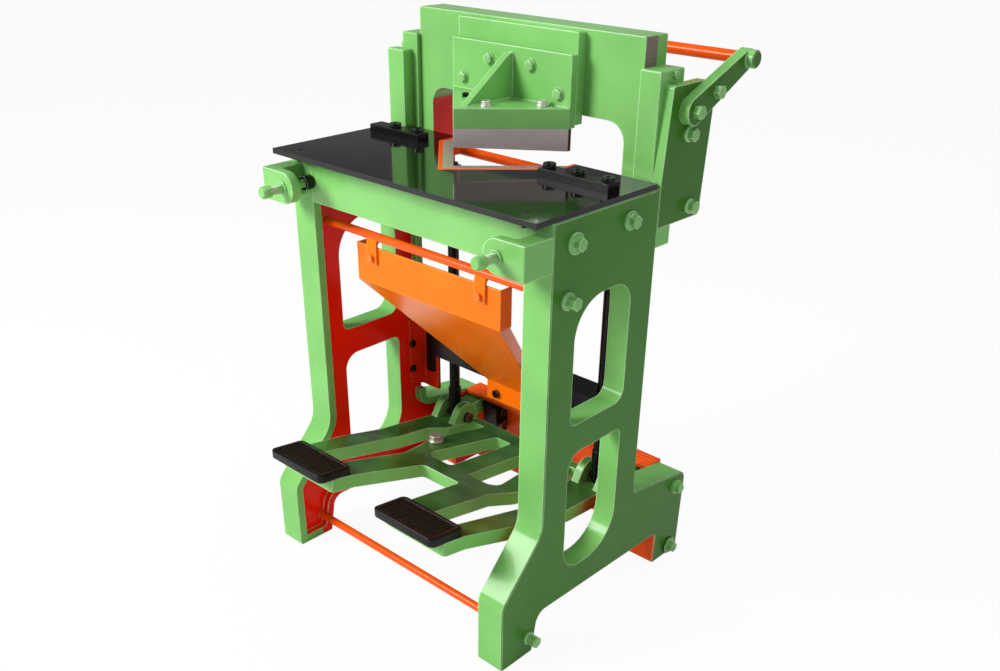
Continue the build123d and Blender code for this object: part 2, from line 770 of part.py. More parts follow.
# ---------------------------------------------------------------- bolts on the outer faces
# (place, washer radius, head height, shank length); the rods' heads close the rods' ends
frame_bolts = (
    (beam_bolt, washer_radius, bolt_head_height, frame_thickness + beam_end_block - 4),
    (support_bolt, washer_radius - 2, bolt_head_height, frame_thickness),
    ((upper_rod_y, upper_rod_z), washer_radius - 3, rod_nut_height, 0),
    ((lower_rod_y, lower_rod_z), washer_radius - 6, rod_nut_height, 0),
    (foot_bolt, washer_radius - 7, bolt_head_height, web_thickness),
    (rear_rod_bolt, washer_radius - 5, bolt_head_height, cheek_thickness),
    (cheek_bolt, washer_radius - 5, bolt_head_height, cheek_thickness),
)
with BuildPart() as outer_bolts:
    for side in both_sides:
        for place, washer, head_height, shank in frame_bolts:
            with BuildSketch(beside(side * half_width)):
                with Locations(place):
                    Circle(washer)
            extrude(amount=side * washer_thickness)
            with BuildSketch(beside(side * (half_width + washer_thickness))):
                with Locations(place):
                    RegularPolygon(bolt_head, 6, rotation=20)
            extrude(amount=side * head_height)
            if shank > 0:
                with BuildSketch(beside(side * half_width)):
                    with Locations(place):
                        Circle(bolt_radius)
                extrude(amount=-side * shank)
save(outer_bolts, "frame_bolts")

arm_bolt_places = [
    (arm_pivot_y + along * cos(arm_angle), arm_pivot_z + along * sin(arm_angle))
    for along in (0, arm_bolt_pitch)
]
with BuildPart() as arm_bolts:
    for side in both_sides:
        with BuildSketch(beside(side * (half_width + arm_thickness))):
            with Locations(arm_bolt_places):
                RegularPolygon(bolt_head, 6)
        extrude(amount=side * bolt_head_height)
        # small bolt near the top of the rail's outer face
        with BuildSketch(beside(side * rail_outer)):
            with Locations((column_rear + 41, rail_top - 9)):
                RegularPolygon(7, 6)
        extrude(amount=side * 7)
save(arm_bolts, "arm_bolts")

# ---------------------------------------------------------------- crosshead
foot_inner = crosshead_half - leg_foot_inset
with BuildPart() as crosshead:
    with BuildSketch(facing_front(crosshead_front)):
        with BuildLine():
            rounded([
                (-crosshead_half, leg_bottom, 2), (-foot_inner, leg_bottom, 4),
                (-foot_inner, leg_foot_top, 4), (-arch_half_width, leg_foot_top, 6),
                (-arch_half_width, arch_top, arch_radius), (arch_half_width, arch_top, arch_radius),
                (arch_half_width, leg_foot_top, 6), (foot_inner, leg_foot_top, 4),
                (foot_inner, leg_bottom, 4), (crosshead_half, leg_bottom, 2),
                (crosshead_half, crosshead_top, 3), (-crosshead_half, crosshead_top, 3),
            ])
        make_face()
    extrude(amount=-crosshead_thickness)
    # tongues that run in the guide rails
    tongue_reach = tongue_depth - slide_clearance
    with BuildSketch(Plane.XY.offset(leg_bottom + 5)):
        for side in both_sides:
            with Locations((side * (crosshead_half + tongue_reach / 2), tongue_mid)):
                Rectangle(tongue_reach, tongue_width - 2 * slide_clearance)
    extrude(amount=tongue_top - leg_bottom - 5)
    with Locations((link_x, link_y, leg_foot_top), (-link_x, link_y, leg_foot_top)):
        Hole(radius=link_radius, depth=leg_foot_top - leg_bottom)
save(crosshead, "crosshead")

with BuildPart() as spacer:
    with BuildSketch(facing_front(crosshead_front)):
        with BuildLine():
            rounded([
                (-blade_half, flange_top - spacer_drop, 0), (blade_half, flange_top - spacer_drop, 0),
                (blade_half, crosshead_top - spacer_top_gap, 3),
                (-blade_half, crosshead_top - spacer_top_gap, 3),
            ])
        make_face()
    extrude(amount=spacer_thickness)
save(spacer, "spacer_plate")

with BuildPart() as bracket:
    # corner-shaped flange
    with BuildSketch(Plane.XY.offset(flange_bottom)):
        with BuildLine():
            Polyline(
                (0, blade_vertex), (blade_half, blade_vertex + blade_half), (blade_half, spacer_front),
                (-blade_half, spacer_front), (-blade_half, blade_vertex + blade_half),
                close=True,
            )
        make_face()
    extrude(amount=flange_height)
    # upright
    with BuildSketch(Plane.XY.offset(flange_top)):
        with Locations((0, (bracket_front + spacer_front) / 2)):
            Rectangle(2 * blade_half, bracket_thickness)
    extrude(amount=bracket_top - flange_top)
    # gusset between flange and upright
    with BuildSketch(beside(-gusset_thickness / 2)):
        with BuildLine():
            Polyline(
                (bracket_front, flange_top), (bracket_front, bracket_top - gusset_drop),
                (bracket_front - gusset_top_reach, bracket_top - gusset_drop),
                (blade_vertex + gusset_foot_inset, flange_top),
                close=True,
            )
        make_face()
    extrude(amount=gusset_thickness)
save(bracket, "blade_bracket")

bracket_bolt_places = [
    (side * x, bracket_top - drop)
    for side in both_sides
    for x, drop in ((upper_bolt_x, upper_bolt_drop), (lower_bolt_x, lower_bolt_drop))
]
with BuildPart() as bracket_bolts:
    with BuildSketch(facing_front(bracket_front)):
        with Locations(bracket_bolt_places):
            RegularPolygon(bracket_bolt_head, 6, rotation=30)
    extrude(amount=bracket_bolt_height)
save(bracket_bolts, "bracket_bolts")

# bolts that hold the right blade
blade_bolt_places = [
    (x, blade_vertex + x + blade_bolt_setback) for x in (blade_bolt_near, blade_bolt_far)
]
with BuildPart() as flange_bolts:
    with BuildSketch(Plane.XY.offset(flange_top)):
        with Locations(blade_bolt_places):
            Circle(bracket_bolt_head + flange_washer_rim)
    extrude(amount=flange_washer_thickness)
    with BuildSketch(Plane.XY.offset(flange_top + flange_washer_thickness)):
        with Locations(blade_bolt_places):
            RegularPolygon(bracket_bolt_head, 6)
    extrude(amount=bracket_bolt_height)
save(flange_bolts, "flange_bolts")

# socket screw over the left blade
with BuildPart() as set_screw:
    with Locations((-blade_screw_x, blade_vertex + blade_screw_x + blade_bolt_setback, flange_top)):
        Cylinder(set_screw_radius, set_screw_height, align=(Align.CENTER, Align.CENTER, Align.MIN))
    chamfer(set_screw.edges().group_by(Axis.Z)[-1], 0.8)
    with BuildSketch(set_screw.faces().sort_by(Axis.Z)[-1]):
        RegularPolygon(set_screw_socket, 6)
    extrude(amount=-set_screw_height / 2, mode=Mode.SUBTRACT)
save(set_screw, "set_screw_left")

# ---------------------------------------------------------------- upper blades
blade_back = blade_vertex + blade_thickness * sqrt(2)
with BuildPart() as upper_blade:
    with BuildSketch(Plane.XY.offset(edge_z - blade_rake)):
        with BuildLine():
            Polyline(
                (0, blade_vertex), (blade_half, blade_vertex + blade_half),
                (blade_half, blade_back + blade_half - blade_thickness / sqrt(2)),
                (blade_half - blade_thickness / sqrt(2), blade_back + blade_half - blade_thickness / sqrt(2)),
                (0, blade_back),
                close=True,
            )
        make_face()
    extrude(amount=blade_height + blade_rake)
    # the cutting edge slopes from the front corner down to the ends
    with BuildSketch(facing_front(blade_back + blade_half)):
        with BuildLine():
            Polyline(
                (0, edge_z), (blade_half, edge_z - blade_rake),
                (blade_half, edge_z - 2 * blade_rake), (0, edge_z - 2 * blade_rake),
                close=True,
            )
        make_face()
    extrude(amount=blade_back + blade_half - blade_vertex, mode=Mode.SUBTRACT)
save_pair(upper_blade, "upper_blade")

# ---------------------------------------------------------------- connecting rods
with BuildPart() as connecting_rod:
    for low, high, radius in (
        (pin_z, sleeve_top, sleeve_radius),
        (sleeve_top, leg_foot_top + link_nut_height + link_end_proud, link_radius),
    ):
        with BuildSketch(Plane.XY.offset(low)):
            with Locations((link_x, link_y)):
                Circle(radius)
        extrude(amount=high - low)
    with Locations((link_x, link_y, pin_z)):
        Sphere(sleeve_radius)
    with BuildSketch(beside(link_x - sleeve_radius)):
        with Locations((link_y, pin_z)):
            Circle(pin_radius + eye_slack)
    extrude(amount=2 * sleeve_radius, mode=Mode.SUBTRACT)
save_pair(connecting_rod, "connecting_rod")

with BuildPart() as link_nuts:
    for start, direction in ((leg_bottom, -1), (leg_foot_top, 1)):
        with BuildSketch(Plane.XY.offset(start)):
            with Locations((-link_x, link_y), (link_x, link_y)):
                RegularPolygon(link_nut_radius, 6)
                Circle(link_radius, mode=Mode.SUBTRACT)
        extrude(amount=direction * link_nut_height)
save(link_nuts, "link_nuts")

# ---------------------------------------------------------------- treadle
bends = (plate_rear, knee_rear, body_rear)
slab_top = [(y, treadle_top(y)) for y in bends]
slab_bottom = [(y, treadle_top(y) - treadle_thickness) for y in bends]
with BuildPart() as treadle:
    with BuildSketch(beside(-hub_outer)):
        with BuildLine():
            Polyline(
                (plate_front + 4, treadle_top(plate_front + 4)),
                (plate_front, treadle_top(plate_front) - treadle_thickness),
                *slab_bottom, *reversed(slab_top),
                close=True,
            )
        make_face()
    extrude(amount=2 * hub_outer)
    # plan of the casting: two plates, each on two arms, and the body behind them
    with BuildSketch(Plane.XY):
        with BuildLine():
            rounded([
                (0, body_front, 0), (body_half, body_front, 10),
                (plate_inner, plate_front, 8), (plate_outer, plate_front, 10),
                (plate_outer + 3, plate_rear - 4, 30), (outer_arm_half - 2, body_front - 44, 60),
                (outer_arm_half, slot_front + 57, 60),
                (clevis_outer, pin_y - clevis_foot_front - 3, 8), (hub_outer, pin_y - 12, 8),
                (hub_outer, body_rear, 6), (0, body_rear, 0),
            ])
        make_face()
        # a slot beside the middle rib
        with BuildLine():
            rounded([
                (rib_half, slot_front, 8), (slot_front_outer, slot_front, 26),
                (slot_rear_outer, slot_rear, 10), (rib_half, slot_rear, 8),
            ])
        make_face(mode=Mode.SUBTRACT)
        # the long gap between the two arms, which passes the clevis on its inner side
        with BuildLine():
            rounded([
                (gap_inner, plate_rear + 2, 6), (gap_outer, plate_rear + 2, 6),
                (gap_waist_outer, knee_rear - 8, 20), (gap_waist_outer - 4, knee_rear + 88, 20),
                (clevis_inner - 4, pin_y - clevis_foot_front - 19, 6), (clevis_inner - 8, gap_rear, 5),
                (gap_inner - 8, gap_rear, 5), (gap_waist_inner - 4, treadle_bolt_y + 61, 20),
                (gap_waist_inner, treadle_bolt_y - 21, 12), (gap_inner - 13, body_front + 14, 14),
            ])
        make_face(mode=Mode.SUBTRACT)
        mirror(about=Plane.YZ)
    extrude(amount=crosshead_top, mode=Mode.INTERSECT)
    # arms to the pivot
    for side in both_sides:
        with BuildSketch(beside(side * hub_inner)):
            with Locations((pivot_y, pivot_z)):
                Circle(hub_radius)
            with Locations((body_rear - 8, treadle_top(body_rear - 8) - 4),
                           (body_rear - 8, treadle_top(body_rear - 8) - treadle_thickness + 4)):
                Circle(3)
            make_hull()
        extrude(amount=side * (hub_outer - hub_inner))
    # cheeks of the two clevises
    for inner in (clevis_inner, link_x + clevis_gap / 2):
        for side in both_sides:
            with BuildSketch(beside(side * inner)):
                with Locations((pin_y, pin_z)):
                    Circle(clevis_radius)
                with Locations((pin_y - clevis_foot_front, treadle_top(pin_y - clevis_foot_front) - 3),
                               (pin_y + clevis_foot_rear, treadle_top(pin_y + clevis_foot_rear) - 3)):
                    Circle(3)
                make_hull()
            extrude(amount=side * clevis_cheek)
    # room for the rods' lower ends
    for side in both_sides:
        with BuildSketch(beside(side * (link_x - clevis_gap / 2))):
            with Locations((pin_y, pin_z)):
                Circle(sleeve_radius + trough_clearance)
        extrude(amount=side * clevis_gap, mode=Mode.SUBTRACT)
    # boss under the hexagon bolt
    with BuildSketch(Plane.XY.offset(treadle_top(treadle_bolt_y) - treadle_thickness / 2)):
        with Locations((treadle_bolt_x, treadle_bolt_y)):
            Circle(treadle_boss_radius)
    extrude(amount=treadle_thickness / 2 + treadle_boss_height)
    # pins and pivot bores
    for side in both_sides:
        with BuildSketch(beside(side * clevis_inner)):
            with Locations((pin_y, pin_z)):
                Circle(pin_radius)
        extrude(amount=side * (clevis_outer - clevis_inner), mode=Mode.SUBTRACT)
        with BuildSketch(beside(side * hub_inner)):
            with Locations((pivot_y, pivot_z)):
                Circle(pivot_radius + shaft_clearance)
        extrude(amount=side * (hub_outer - hub_inner), mode=Mode.SUBTRACT)
save(treadle, "treadle")

boss_top = treadle_top(treadle_bolt_y) + treadle_boss_height
with BuildPart() as treadle_bolt:
    with BuildSketch(Plane.XY.offset(boss_top)):
        with Locations((treadle_bolt_x, treadle_bolt_y)):
            RegularPolygon(treadle_bolt_head, 6)
    extrude(amount=treadle_bolt_height)
    chamfer(treadle_bolt.edges().group_by(Axis.Z)[-1], 1)
save(treadle_bolt, "treadle_bolt")

pad_rise = pad_thickness / cos(radians(plate_pitch))
with BuildPart() as foot_pad:
    with BuildSketch(beside(pad_inner)):
        with BuildLine():
            Polyline(
                (pad_front, treadle_top(pad_front)),
                (pad_front, treadle_top(pad_front) + pad_rise),
                (plate_rear, treadle_top(plate_rear) + pad_rise),
                (plate_rear, treadle_top(plate_rear)),
                close=True,
            )
        make_face()
    extrude(amount=pad_outer - pad_inner)
    fillet(foot_pad.edges().filter_by(Axis.Z), pad_radius)
    top_face = foot_pad.faces().filter_by(GeomType.PLANE).sort_by(Axis.Z)[-1]
    fillet(top_face.edges(), pad_edge)
save_pair(foot_pad, "foot_pad")

with BuildPart() as clevis_pins:
    for side in both_sides:
        with BuildSketch(beside(side * clevis_inner)):
            with Locations((pin_y, pin_z)):
                Circle(pin_radius)
        extrude(amount=side * (clevis_outer - clevis_inner))
        with BuildSketch(beside(side * clevis_inner)):
            with Locations((pin_y, pin_z)):
                Circle(pin_head_radius)
        extrude(amount=-side * pin_head_length)
save(clevis_pins, "clevis_pins")

# ---------------------------------------------------------------- rod guide
with BuildPart() as guide_bar:
    # front web with a leg at each end and a tab in the middle
    with BuildSketch(facing_front(guide_front)):
        with Locations((0, (guide_top + guide_bottom) / 2)):
            Rectangle(2 * guide_half, guide_top - guide_bottom)
        leg_x = guide_half - guide_leg_width / 2
        with Locations((-leg_x, (guide_top + guide_leg_bottom) / 2),
                       (leg_x, (guide_top + guide_leg_bottom) / 2)):
            Rectangle(guide_leg_width, guide_top - guide_leg_bottom)
        with Locations((0, (guide_top + guide_tab_bottom) / 2)):
            Rectangle(2 * guide_tab_half, guide_top - guide_tab_bottom)
        with Locations((-spout_bolt_x, spout_bolt_z), (spout_bolt_x, spout_bolt_z)):
            Circle(guide_bolt_radius, mode=Mode.SUBTRACT)
    extrude(amount=-guide_wall)
    # flange at the top with a hole for each rod
    with BuildSketch(Plane.XY.offset(guide_top)):
        with Locations((0, guide_front + guide_depth / 2)):
            Rectangle(2 * guide_half, guide_depth)
        with Locations((-link_x, link_y), (link_x, link_y)):
            Circle(link_radius + bolt_clearance, mode=Mode.SUBTRACT)
    extrude(amount=-guide_wall)
save(guide_bar, "rod_guide_bar")

leaf_y = column_rear - leaf_reach
leg_y = guide_front + guide_wall
with BuildPart() as guide_angle:
    # flange on the frame's web
    with BuildSketch(beside(web_inner - leaf_wall)):
        with BuildLine():
            Polyline(
                (leaf_y, leaf_top), (leg_y + leaf_wall, leaf_top),
                (leg_y + leaf_wall, leaf_bottom), (leaf_y, leaf_bottom + leaf_slant),
                close=True,
            )
        make_face()
        with Locations((guide_bolt_y, guide_bolt_low), (guide_bolt_y, guide_bolt_high)):
            Circle(guide_bolt_radius, mode=Mode.SUBTRACT)
    extrude(amount=leaf_wall)
    # leg behind the guide bar
    leg_height = guide_top - guide_wall - leaf_bottom
    with BuildSketch(facing_front(leg_y)):
        with Locations((web_inner - leaf_depth / 2, leaf_bottom + leg_height / 2)):
            Rectangle(leaf_depth, leg_height)
    extrude(amount=-leaf_wall)
save_pair(guide_angle, "guide_angle")

with BuildPart() as guide_bolts:
    for side in both_sides:
        seat_x = side * (web_inner - leaf_wall)
        with BuildSketch(beside(seat_x)):
            with Locations((guide_bolt_y, guide_bolt_low), (guide_bolt_y, guide_bolt_high)):
                Circle(dome_radius)
        extrude(amount=-side * dome_height)
        with BuildSketch(beside(seat_x)):
            with Locations((guide_bolt_y, guide_bolt_low), (guide_bolt_y, guide_bolt_high)):
                Circle(guide_bolt_radius)
        extrude(amount=side * (leaf_wall + guide_bolt_length - 2))
    # round heads: only the free rims of the heads are broken
    free_rims = guide_bolts.edges().filter_by(
        lambda e: abs(abs(e.center().X) - (web_inner - leaf_wall - dome_height)) < 0.01)
    chamfer(free_rims, 3.5)
save(guide_bolts, "guide_bolts")

# ---------------------------------------------------------------- chute
spout_y = guide_front - chute_wall
fall = hypot(spout_y - panel_front, chute_panel_bottom - guide_bottom)
down = ((spout_y - panel_front) / fall, (guide_bottom - chute_panel_bottom) / fall)
inward = (-down[1], down[0])


def along_floor(rise_from, rise_to, overrun):
    """Side outline of a band above the chute's floor line, in Y and Z."""
    start, end = -overrun, fall + 40
    places = ((start, rise_from), (end, rise_from), (end, rise_to), (start, rise_to))
    return [(panel_front + a * down[0] + b * inward[0], chute_panel_bottom + a * down[1] + b * inward[1])
            for a, b in places]


def taper_plan(inset):
    """Plan of the chute between the panel and the guide bar, narrowing to the spout."""
    wide, narrow = chute_half_width - inset, spout_half_width - inset
    Polyline((-wide, panel_front), (-narrow, spout_y), (-narrow, guide_front),
             (narrow, guide_front), (narrow, spout_y), (wide, panel_front), close=True)


with BuildPart() as hollow:
    with BuildSketch(beside(-chute_half_width)):
        with BuildLine():
            Polyline(*along_floor(chute_wall, 3 * chute_flange, 40), close=True)
        make_face()
    extrude(amount=2 * chute_half_width)
    with BuildSketch(Plane.XY):
        with BuildLine():
            taper_plan(chute_wall)
        make_face()
    extrude(amount=crosshead_top, mode=Mode.INTERSECT)

with BuildPart() as chute:
    with BuildSketch(beside(-chute_half_width)):
        with BuildLine():
            Polyline(*along_floor(0, chute_flange, 0), close=True)
        make_face()
    extrude(amount=2 * chute_half_width)
    with BuildSketch(Plane.XY):
        with BuildLine():
            taper_plan(0)
        make_face()
    extrude(amount=crosshead_top, mode=Mode.INTERSECT)
    add(hollow.part, mode=Mode.SUBTRACT)
    # upright panel with a side flange at each end
    with BuildSketch(Plane.XY.offset(chute_panel_bottom)):
        with Locations((0, panel_front + chute_wall / 2)):
            Rectangle(2 * chute_half_width, chute_wall)
        flange_x = chute_half_width - chute_wall / 2
        with Locations((-flange_x, panel_front + chute_flange / 2), (flange_x, panel_front + chute_flange / 2)):
            Rectangle(chute_wall, chute_flange)
    extrude(amount=chute_panel_top - chute_panel_bottom)
    # tongue bolted to the guide bar
    with BuildSketch(facing_front(guide_front)):
        with Locations((0, (guide_bottom + spout_bottom) / 2)):
            Rectangle(2 * spout_half_width, guide_bottom - spout_bottom)
        with Locations((-spout_bolt_x, spout_bolt_z), (spout_bolt_x, spout_bolt_z)):
            Circle(guide_bolt_radius, mode=Mode.SUBTRACT)
    extrude(amount=chute_wall)
    with BuildSketch(facing_front(panel_front)):
        with Locations((-strap_x, rivet_z), (strap_x, rivet_z)):
            Circle(rivet_shank)
    extrude(amount=-chute_wall, mode=Mode.SUBTRACT)
save(chute, "chute")

strap_mid_y = panel_front - strap_thickness / 2
with BuildPart() as straps:
    for side in both_sides:
        with BuildSketch(beside(side * strap_x - strap_width / 2)):
            with Locations((strap_mid_y, (strap_bottom + upper_rod_z) / 2)):
                Rectangle(strap_thickness, upper_rod_z - strap_bottom)
            with Locations((upper_rod_y, upper_rod_z)):
                Circle(rod_radius + strap_ring)
            with Locations((upper_rod_y, upper_rod_z)):
                Circle(rod_radius, mode=Mode.SUBTRACT)
        extrude(amount=strap_width)
    with BuildSketch(facing_front(panel_front)):
        with Locations((-strap_x, rivet_z), (strap_x, rivet_z)):
            Circle(rivet_shank)
    extrude(amount=strap_thickness, mode=Mode.SUBTRACT)
save(straps, "chute_straps")

with BuildPart() as chute_fasteners:
    rivet_seat = panel_front - strap_thickness
    with BuildSketch(facing_front(rivet_seat)):
        with Locations((-strap_x, rivet_z), (strap_x, rivet_z)):
            Circle(rivet_radius)
    extrude(amount=rivet_height)
    with BuildSketch(facing_front(rivet_seat)):
        with Locations((-strap_x, rivet_z), (strap_x, rivet_z)):
            Circle(rivet_shank)
    extrude(amount=-strap_thickness - chute_wall)
    with BuildSketch(facing_front(guide_front - chute_wall)):
        with Locations((-spout_bolt_x, spout_bolt_z), (spout_bolt_x, spout_bolt_z)):
            Circle(dome_radius)
    extrude(amount=dome_height)
    with BuildSketch(facing_front(guide_front - chute_wall)):
        with Locations((-spout_bolt_x, spout_bolt_z), (spout_bolt_x, spout_bolt_z)):
            Circle(guide_bolt_radius)
    extrude(amount=-chute_wall - guide_wall)
save(chute_fasteners, "chute_fasteners")
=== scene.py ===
import json
from math import cos, pi, radians, sin, tan

import bmesh
import bpy
from mathutils import Matrix, Vector


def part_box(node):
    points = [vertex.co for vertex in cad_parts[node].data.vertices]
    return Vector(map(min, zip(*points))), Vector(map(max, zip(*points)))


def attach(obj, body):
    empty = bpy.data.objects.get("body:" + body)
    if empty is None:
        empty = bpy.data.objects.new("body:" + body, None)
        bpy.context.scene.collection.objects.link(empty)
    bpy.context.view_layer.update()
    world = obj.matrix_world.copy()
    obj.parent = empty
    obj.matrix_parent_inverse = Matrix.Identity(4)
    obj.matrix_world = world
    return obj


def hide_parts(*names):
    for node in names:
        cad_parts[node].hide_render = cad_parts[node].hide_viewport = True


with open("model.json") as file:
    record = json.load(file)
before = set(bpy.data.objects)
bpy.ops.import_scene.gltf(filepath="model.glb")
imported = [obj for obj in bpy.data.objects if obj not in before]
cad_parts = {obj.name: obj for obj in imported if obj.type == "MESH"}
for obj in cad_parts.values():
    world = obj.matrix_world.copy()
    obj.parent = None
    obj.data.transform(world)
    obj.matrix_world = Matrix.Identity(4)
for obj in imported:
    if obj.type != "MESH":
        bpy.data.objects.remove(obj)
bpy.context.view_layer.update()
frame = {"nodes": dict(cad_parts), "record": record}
nodes = frame["nodes"]

# The floor-standing corner notcher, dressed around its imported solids. Metres, +Z up.
# What repeats is a loop; every finish is worked out by shader nodes.


# ---------------------------------------------------------------- shader tools
class Wire:
    """One output of a shader node; the operators below add Math nodes to it."""

    def __init__(self, nodes, socket):
        self.nodes = nodes
        self.socket = socket

    def math(self, operation, *values):
        """A Math node on the values, in their order."""
        inputs = dict(enumerate(values))
        return self.nodes.node("ShaderNodeMath", {"operation": operation}, inputs)

    def __add__(self, other):
        return self.math("ADD", self, other)

    def __sub__(self, other):
        return self.math("SUBTRACT", self, other)

    def __rsub__(self, other):
        return self.math("SUBTRACT", other, self)

    def __mul__(self, other):
        return self.math("MULTIPLY", self, other)

    def __gt__(self, other):
        return self.math("GREATER_THAN", self, other)

    def __lt__(self, other):
        return self.math("LESS_THAN", self, other)

    def size(self):
        """The value without its sign."""
        return self.math("ABSOLUTE", self)

    def within(self, low, high):
        """1 between low and high, else 0."""
        return (self > low) * (self < high)

    def rise(self, low, high):
        """0 below low, 1 above high and a smooth step between them."""
        settings = {"interpolation_type": "SMOOTHSTEP"}
        return self.nodes.node("ShaderNodeMapRange", settings, {0: self, 1: low, 2: high})

    __radd__ = __add__
    __rmul__ = __mul__


class NodeTree:
    """A tree of shader nodes that ends in one output."""

    def __init__(self, tree, output):
        self.tree = tree
        self.tree.nodes.clear()
        self.output = self.tree.nodes.new(output)

    def node(self, kind, settings, inputs, out=0):
        """Add a node: its settings first, then the values or links of its sockets."""
        made = self.tree.nodes.new(kind)
        for name, value in settings.items():
            setattr(made, name, value)
        for key, value in inputs.items():
            if isinstance(value, Wire):
                self.tree.links.new(value.socket, made.inputs[key])
            else:
                made.inputs[key].default_value = value
        return Wire(self, made.outputs[out])

    def show(self, wire):
        """Link a shader to the tree's output."""
        self.tree.links.new(wire.socket, self.output.inputs[0])

    def axes(self, vector):
        """The three parts of a vector."""
        parts = self.node("ShaderNodeSeparateXYZ", {}, {0: vector})
        return [Wire(self, socket) for socket in parts.socket.node.outputs]

    def rays(self, *kinds):
        """1 for each kind of light ray that the node is asked for, else 0."""
        paths = self.tree.nodes.new("ShaderNodeLightPath")
        return [Wire(self, paths.outputs[kind]) for kind in kinds]


class Sky(NodeTree):
    """The nodes of a world."""

    def __init__(self, owner):
        owner.use_nodes = True
        super().__init__(owner.node_tree, "ShaderNodeOutputWorld")


class Finish(NodeTree):
    """A material made of shader nodes around one Principled shader."""

    def __init__(self, name, **constants):
        self.material = bpy.data.materials.new(name)
        self.material.use_nodes = True
        super().__init__(self.material.node_tree, "ShaderNodeOutputMaterial")
        self.shader = self.tree.nodes.new("ShaderNodeBsdfPrincipled")
        self.show(Wire(self, self.shader.outputs[0]))
        for socket, value in constants.items():
            self.shader.inputs[socket.replace("_", " ")].default_value = value
        coordinates = self.tree.nodes.new("ShaderNodeTexCoord")
        self.place = Wire(self, coordinates.outputs["Object"])
        self.facing = Wire(self, coordinates.outputs["Normal"])

    def feed(self, **values):
        """Link what changes over the surface to the shader's sockets."""
        for socket, wire in values.items():
            self.tree.links.new(wire.socket, self.shader.inputs[socket.replace("_", " ")])

    def mix(self, mask, below, above):
        """Colour `below`, with `above` where the mask is 1."""
        inputs = {0: mask, 6: below, 7: above}
        return self.node("ShaderNodeMix", {"data_type": "RGBA"}, inputs, out=2)

    def stretched(self, x, y, z):
        """The place on the piece, scaled along each axis."""
        inputs = {0: self.place, 1: (x, y, z)}
        return self.node("ShaderNodeVectorMath", {"operation": "MULTIPLY"}, inputs)

    def noise(self, scale, detail=3.0, vector=None):
        """Clouds between 0 and 1; the scale is their number per metre."""
        inputs = {"Vector": vector or self.place, "Scale": scale, "Detail": detail}
        return self.node("ShaderNodeTexNoise", {}, inputs)

    def round_edges(self, radius):
        """The surface's direction with its corners rounded by that radius."""
        return self.node("ShaderNodeBevel", {"samples": 6}, {"Radius": radius})

    def edge(self, rounded):
        """1 on the corners that round_edges rounds, 0 on plain faces."""
        faint, full = 0.004, 0.09
        straight = self.node("ShaderNodeNewGeometry", {}, {}, out="Normal")
        inputs = {0: rounded, 1: straight}
        same = self.node("ShaderNodeVectorMath", {"operation": "DOT_PRODUCT"}, inputs, out="Value")
        return (1.0 - same).rise(faint, full)

    def bump(self, height, strength, distance, normal):
        """The surface's direction, tilted by a relief of that depth."""
        inputs = {"Height": height, "Strength": strength, "Distance": distance, "Normal": normal}
        return self.node("ShaderNodeBump", {}, inputs)


def tint(red, green, blue):
    """A display colour, 0 to 255, as the linear colour that a shader takes."""
    dark_limit = 11
    parts = []
    for value in (red, green, blue):
        share = value / 255
        parts.append(share / 12.92 if value < dark_limit else ((share + 0.055) / 1.055) ** 2.4)
    return (*parts, 1.0)


def lit(colour, share):
    """The colour made brighter or darker by that share."""
    return (*(min(1.0, part * share) for part in colour[:3]), 1.0)


# ---------------------------------------------------------------- finishes
GREEN = tint(124, 191, 102)
# painted highlight colour for the green enamel's corners
GREEN_HIGHLIGHT = tint(206, 246, 194)
RED = tint(255, 30, 4)
ORANGE = tint(255, 88, 8)
AMBER = tint(255, 118, 10)
BLACK = tint(7, 7, 8)
# painted highlight grey for the corners of black parts
EDGE_HIGHLIGHT_GREY = tint(150, 150, 150)
WHITE = (1.0, 1.0, 1.0, 1.0)
STEEL = tint(226, 216, 212)
MACHINED = tint(128, 112, 104)
# a darker green for the treadle's upward faces
TOP_FACE_GREEN = tint(26, 72, 4)
# painted shade: a deeper green that stands in for the shade on the faces that look to either side
PAINTED_SHADE_GREEN = tint(46, 100, 4)
# the lighter colours on the next three lines are painted highlights for each paint's corners
CROWN_GREEN, CROWN_HIGHLIGHT = tint(132, 190, 112), tint(206, 214, 184)
ORANGE_HIGHLIGHT, AMBER_HIGHLIGHT, RIVET_HIGHLIGHT = tint(255, 150, 80), tint(255, 170, 70), tint(255, 170, 90)
ANGLE_RED, ANGLE_HIGHLIGHT = tint(244, 44, 6), tint(255, 120, 60)
WORN_STEEL = tint(188, 184, 160)
# the last of these is the painted highlight for steel edges
ZINC, BROWN_STEEL, BURNT_END, STEEL_EDGE_HIGHLIGHT = (
    tint(206, 204, 196), tint(104, 76, 66), tint(74, 44, 34), tint(235, 232, 228)
)

# how far a face's direction leans along an axis to count as facing that way
LEANING, FACING, SQUARE_ON = 0.6, 0.7, 0.9

# places on the castings and screws, from the frame's boxes
frame_low, frame_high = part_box("side_frame_right")
_, rail_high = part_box("guide_rail_right")
screw_low, screw_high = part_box("adjusting_screw_right")
WEB = (frame_low.x + 0.011, frame_low.x + 0.0163)
LEDGE = (0.2, frame_low.x + 0.0185)
LEDGE_TOP = 0.03
TOE_INSIDE, TOE_REAR, TOE_TOP = 0.27, frame_low.y + 0.063, 0.2
HEEL, HEEL_TOP = (0.205, 0.228), 0.083
OUTSIDE = frame_high.x - 0.002
ARCH_WALL = (-0.2465, -0.243)
BARE_END, BARE_DEPTH = 0.27, 0.168
SCREW_PAD_START = screw_high.y - 0.0202
SCREW_WEAR = (screw_low.y + 0.0205, screw_low.y + 0.0325)


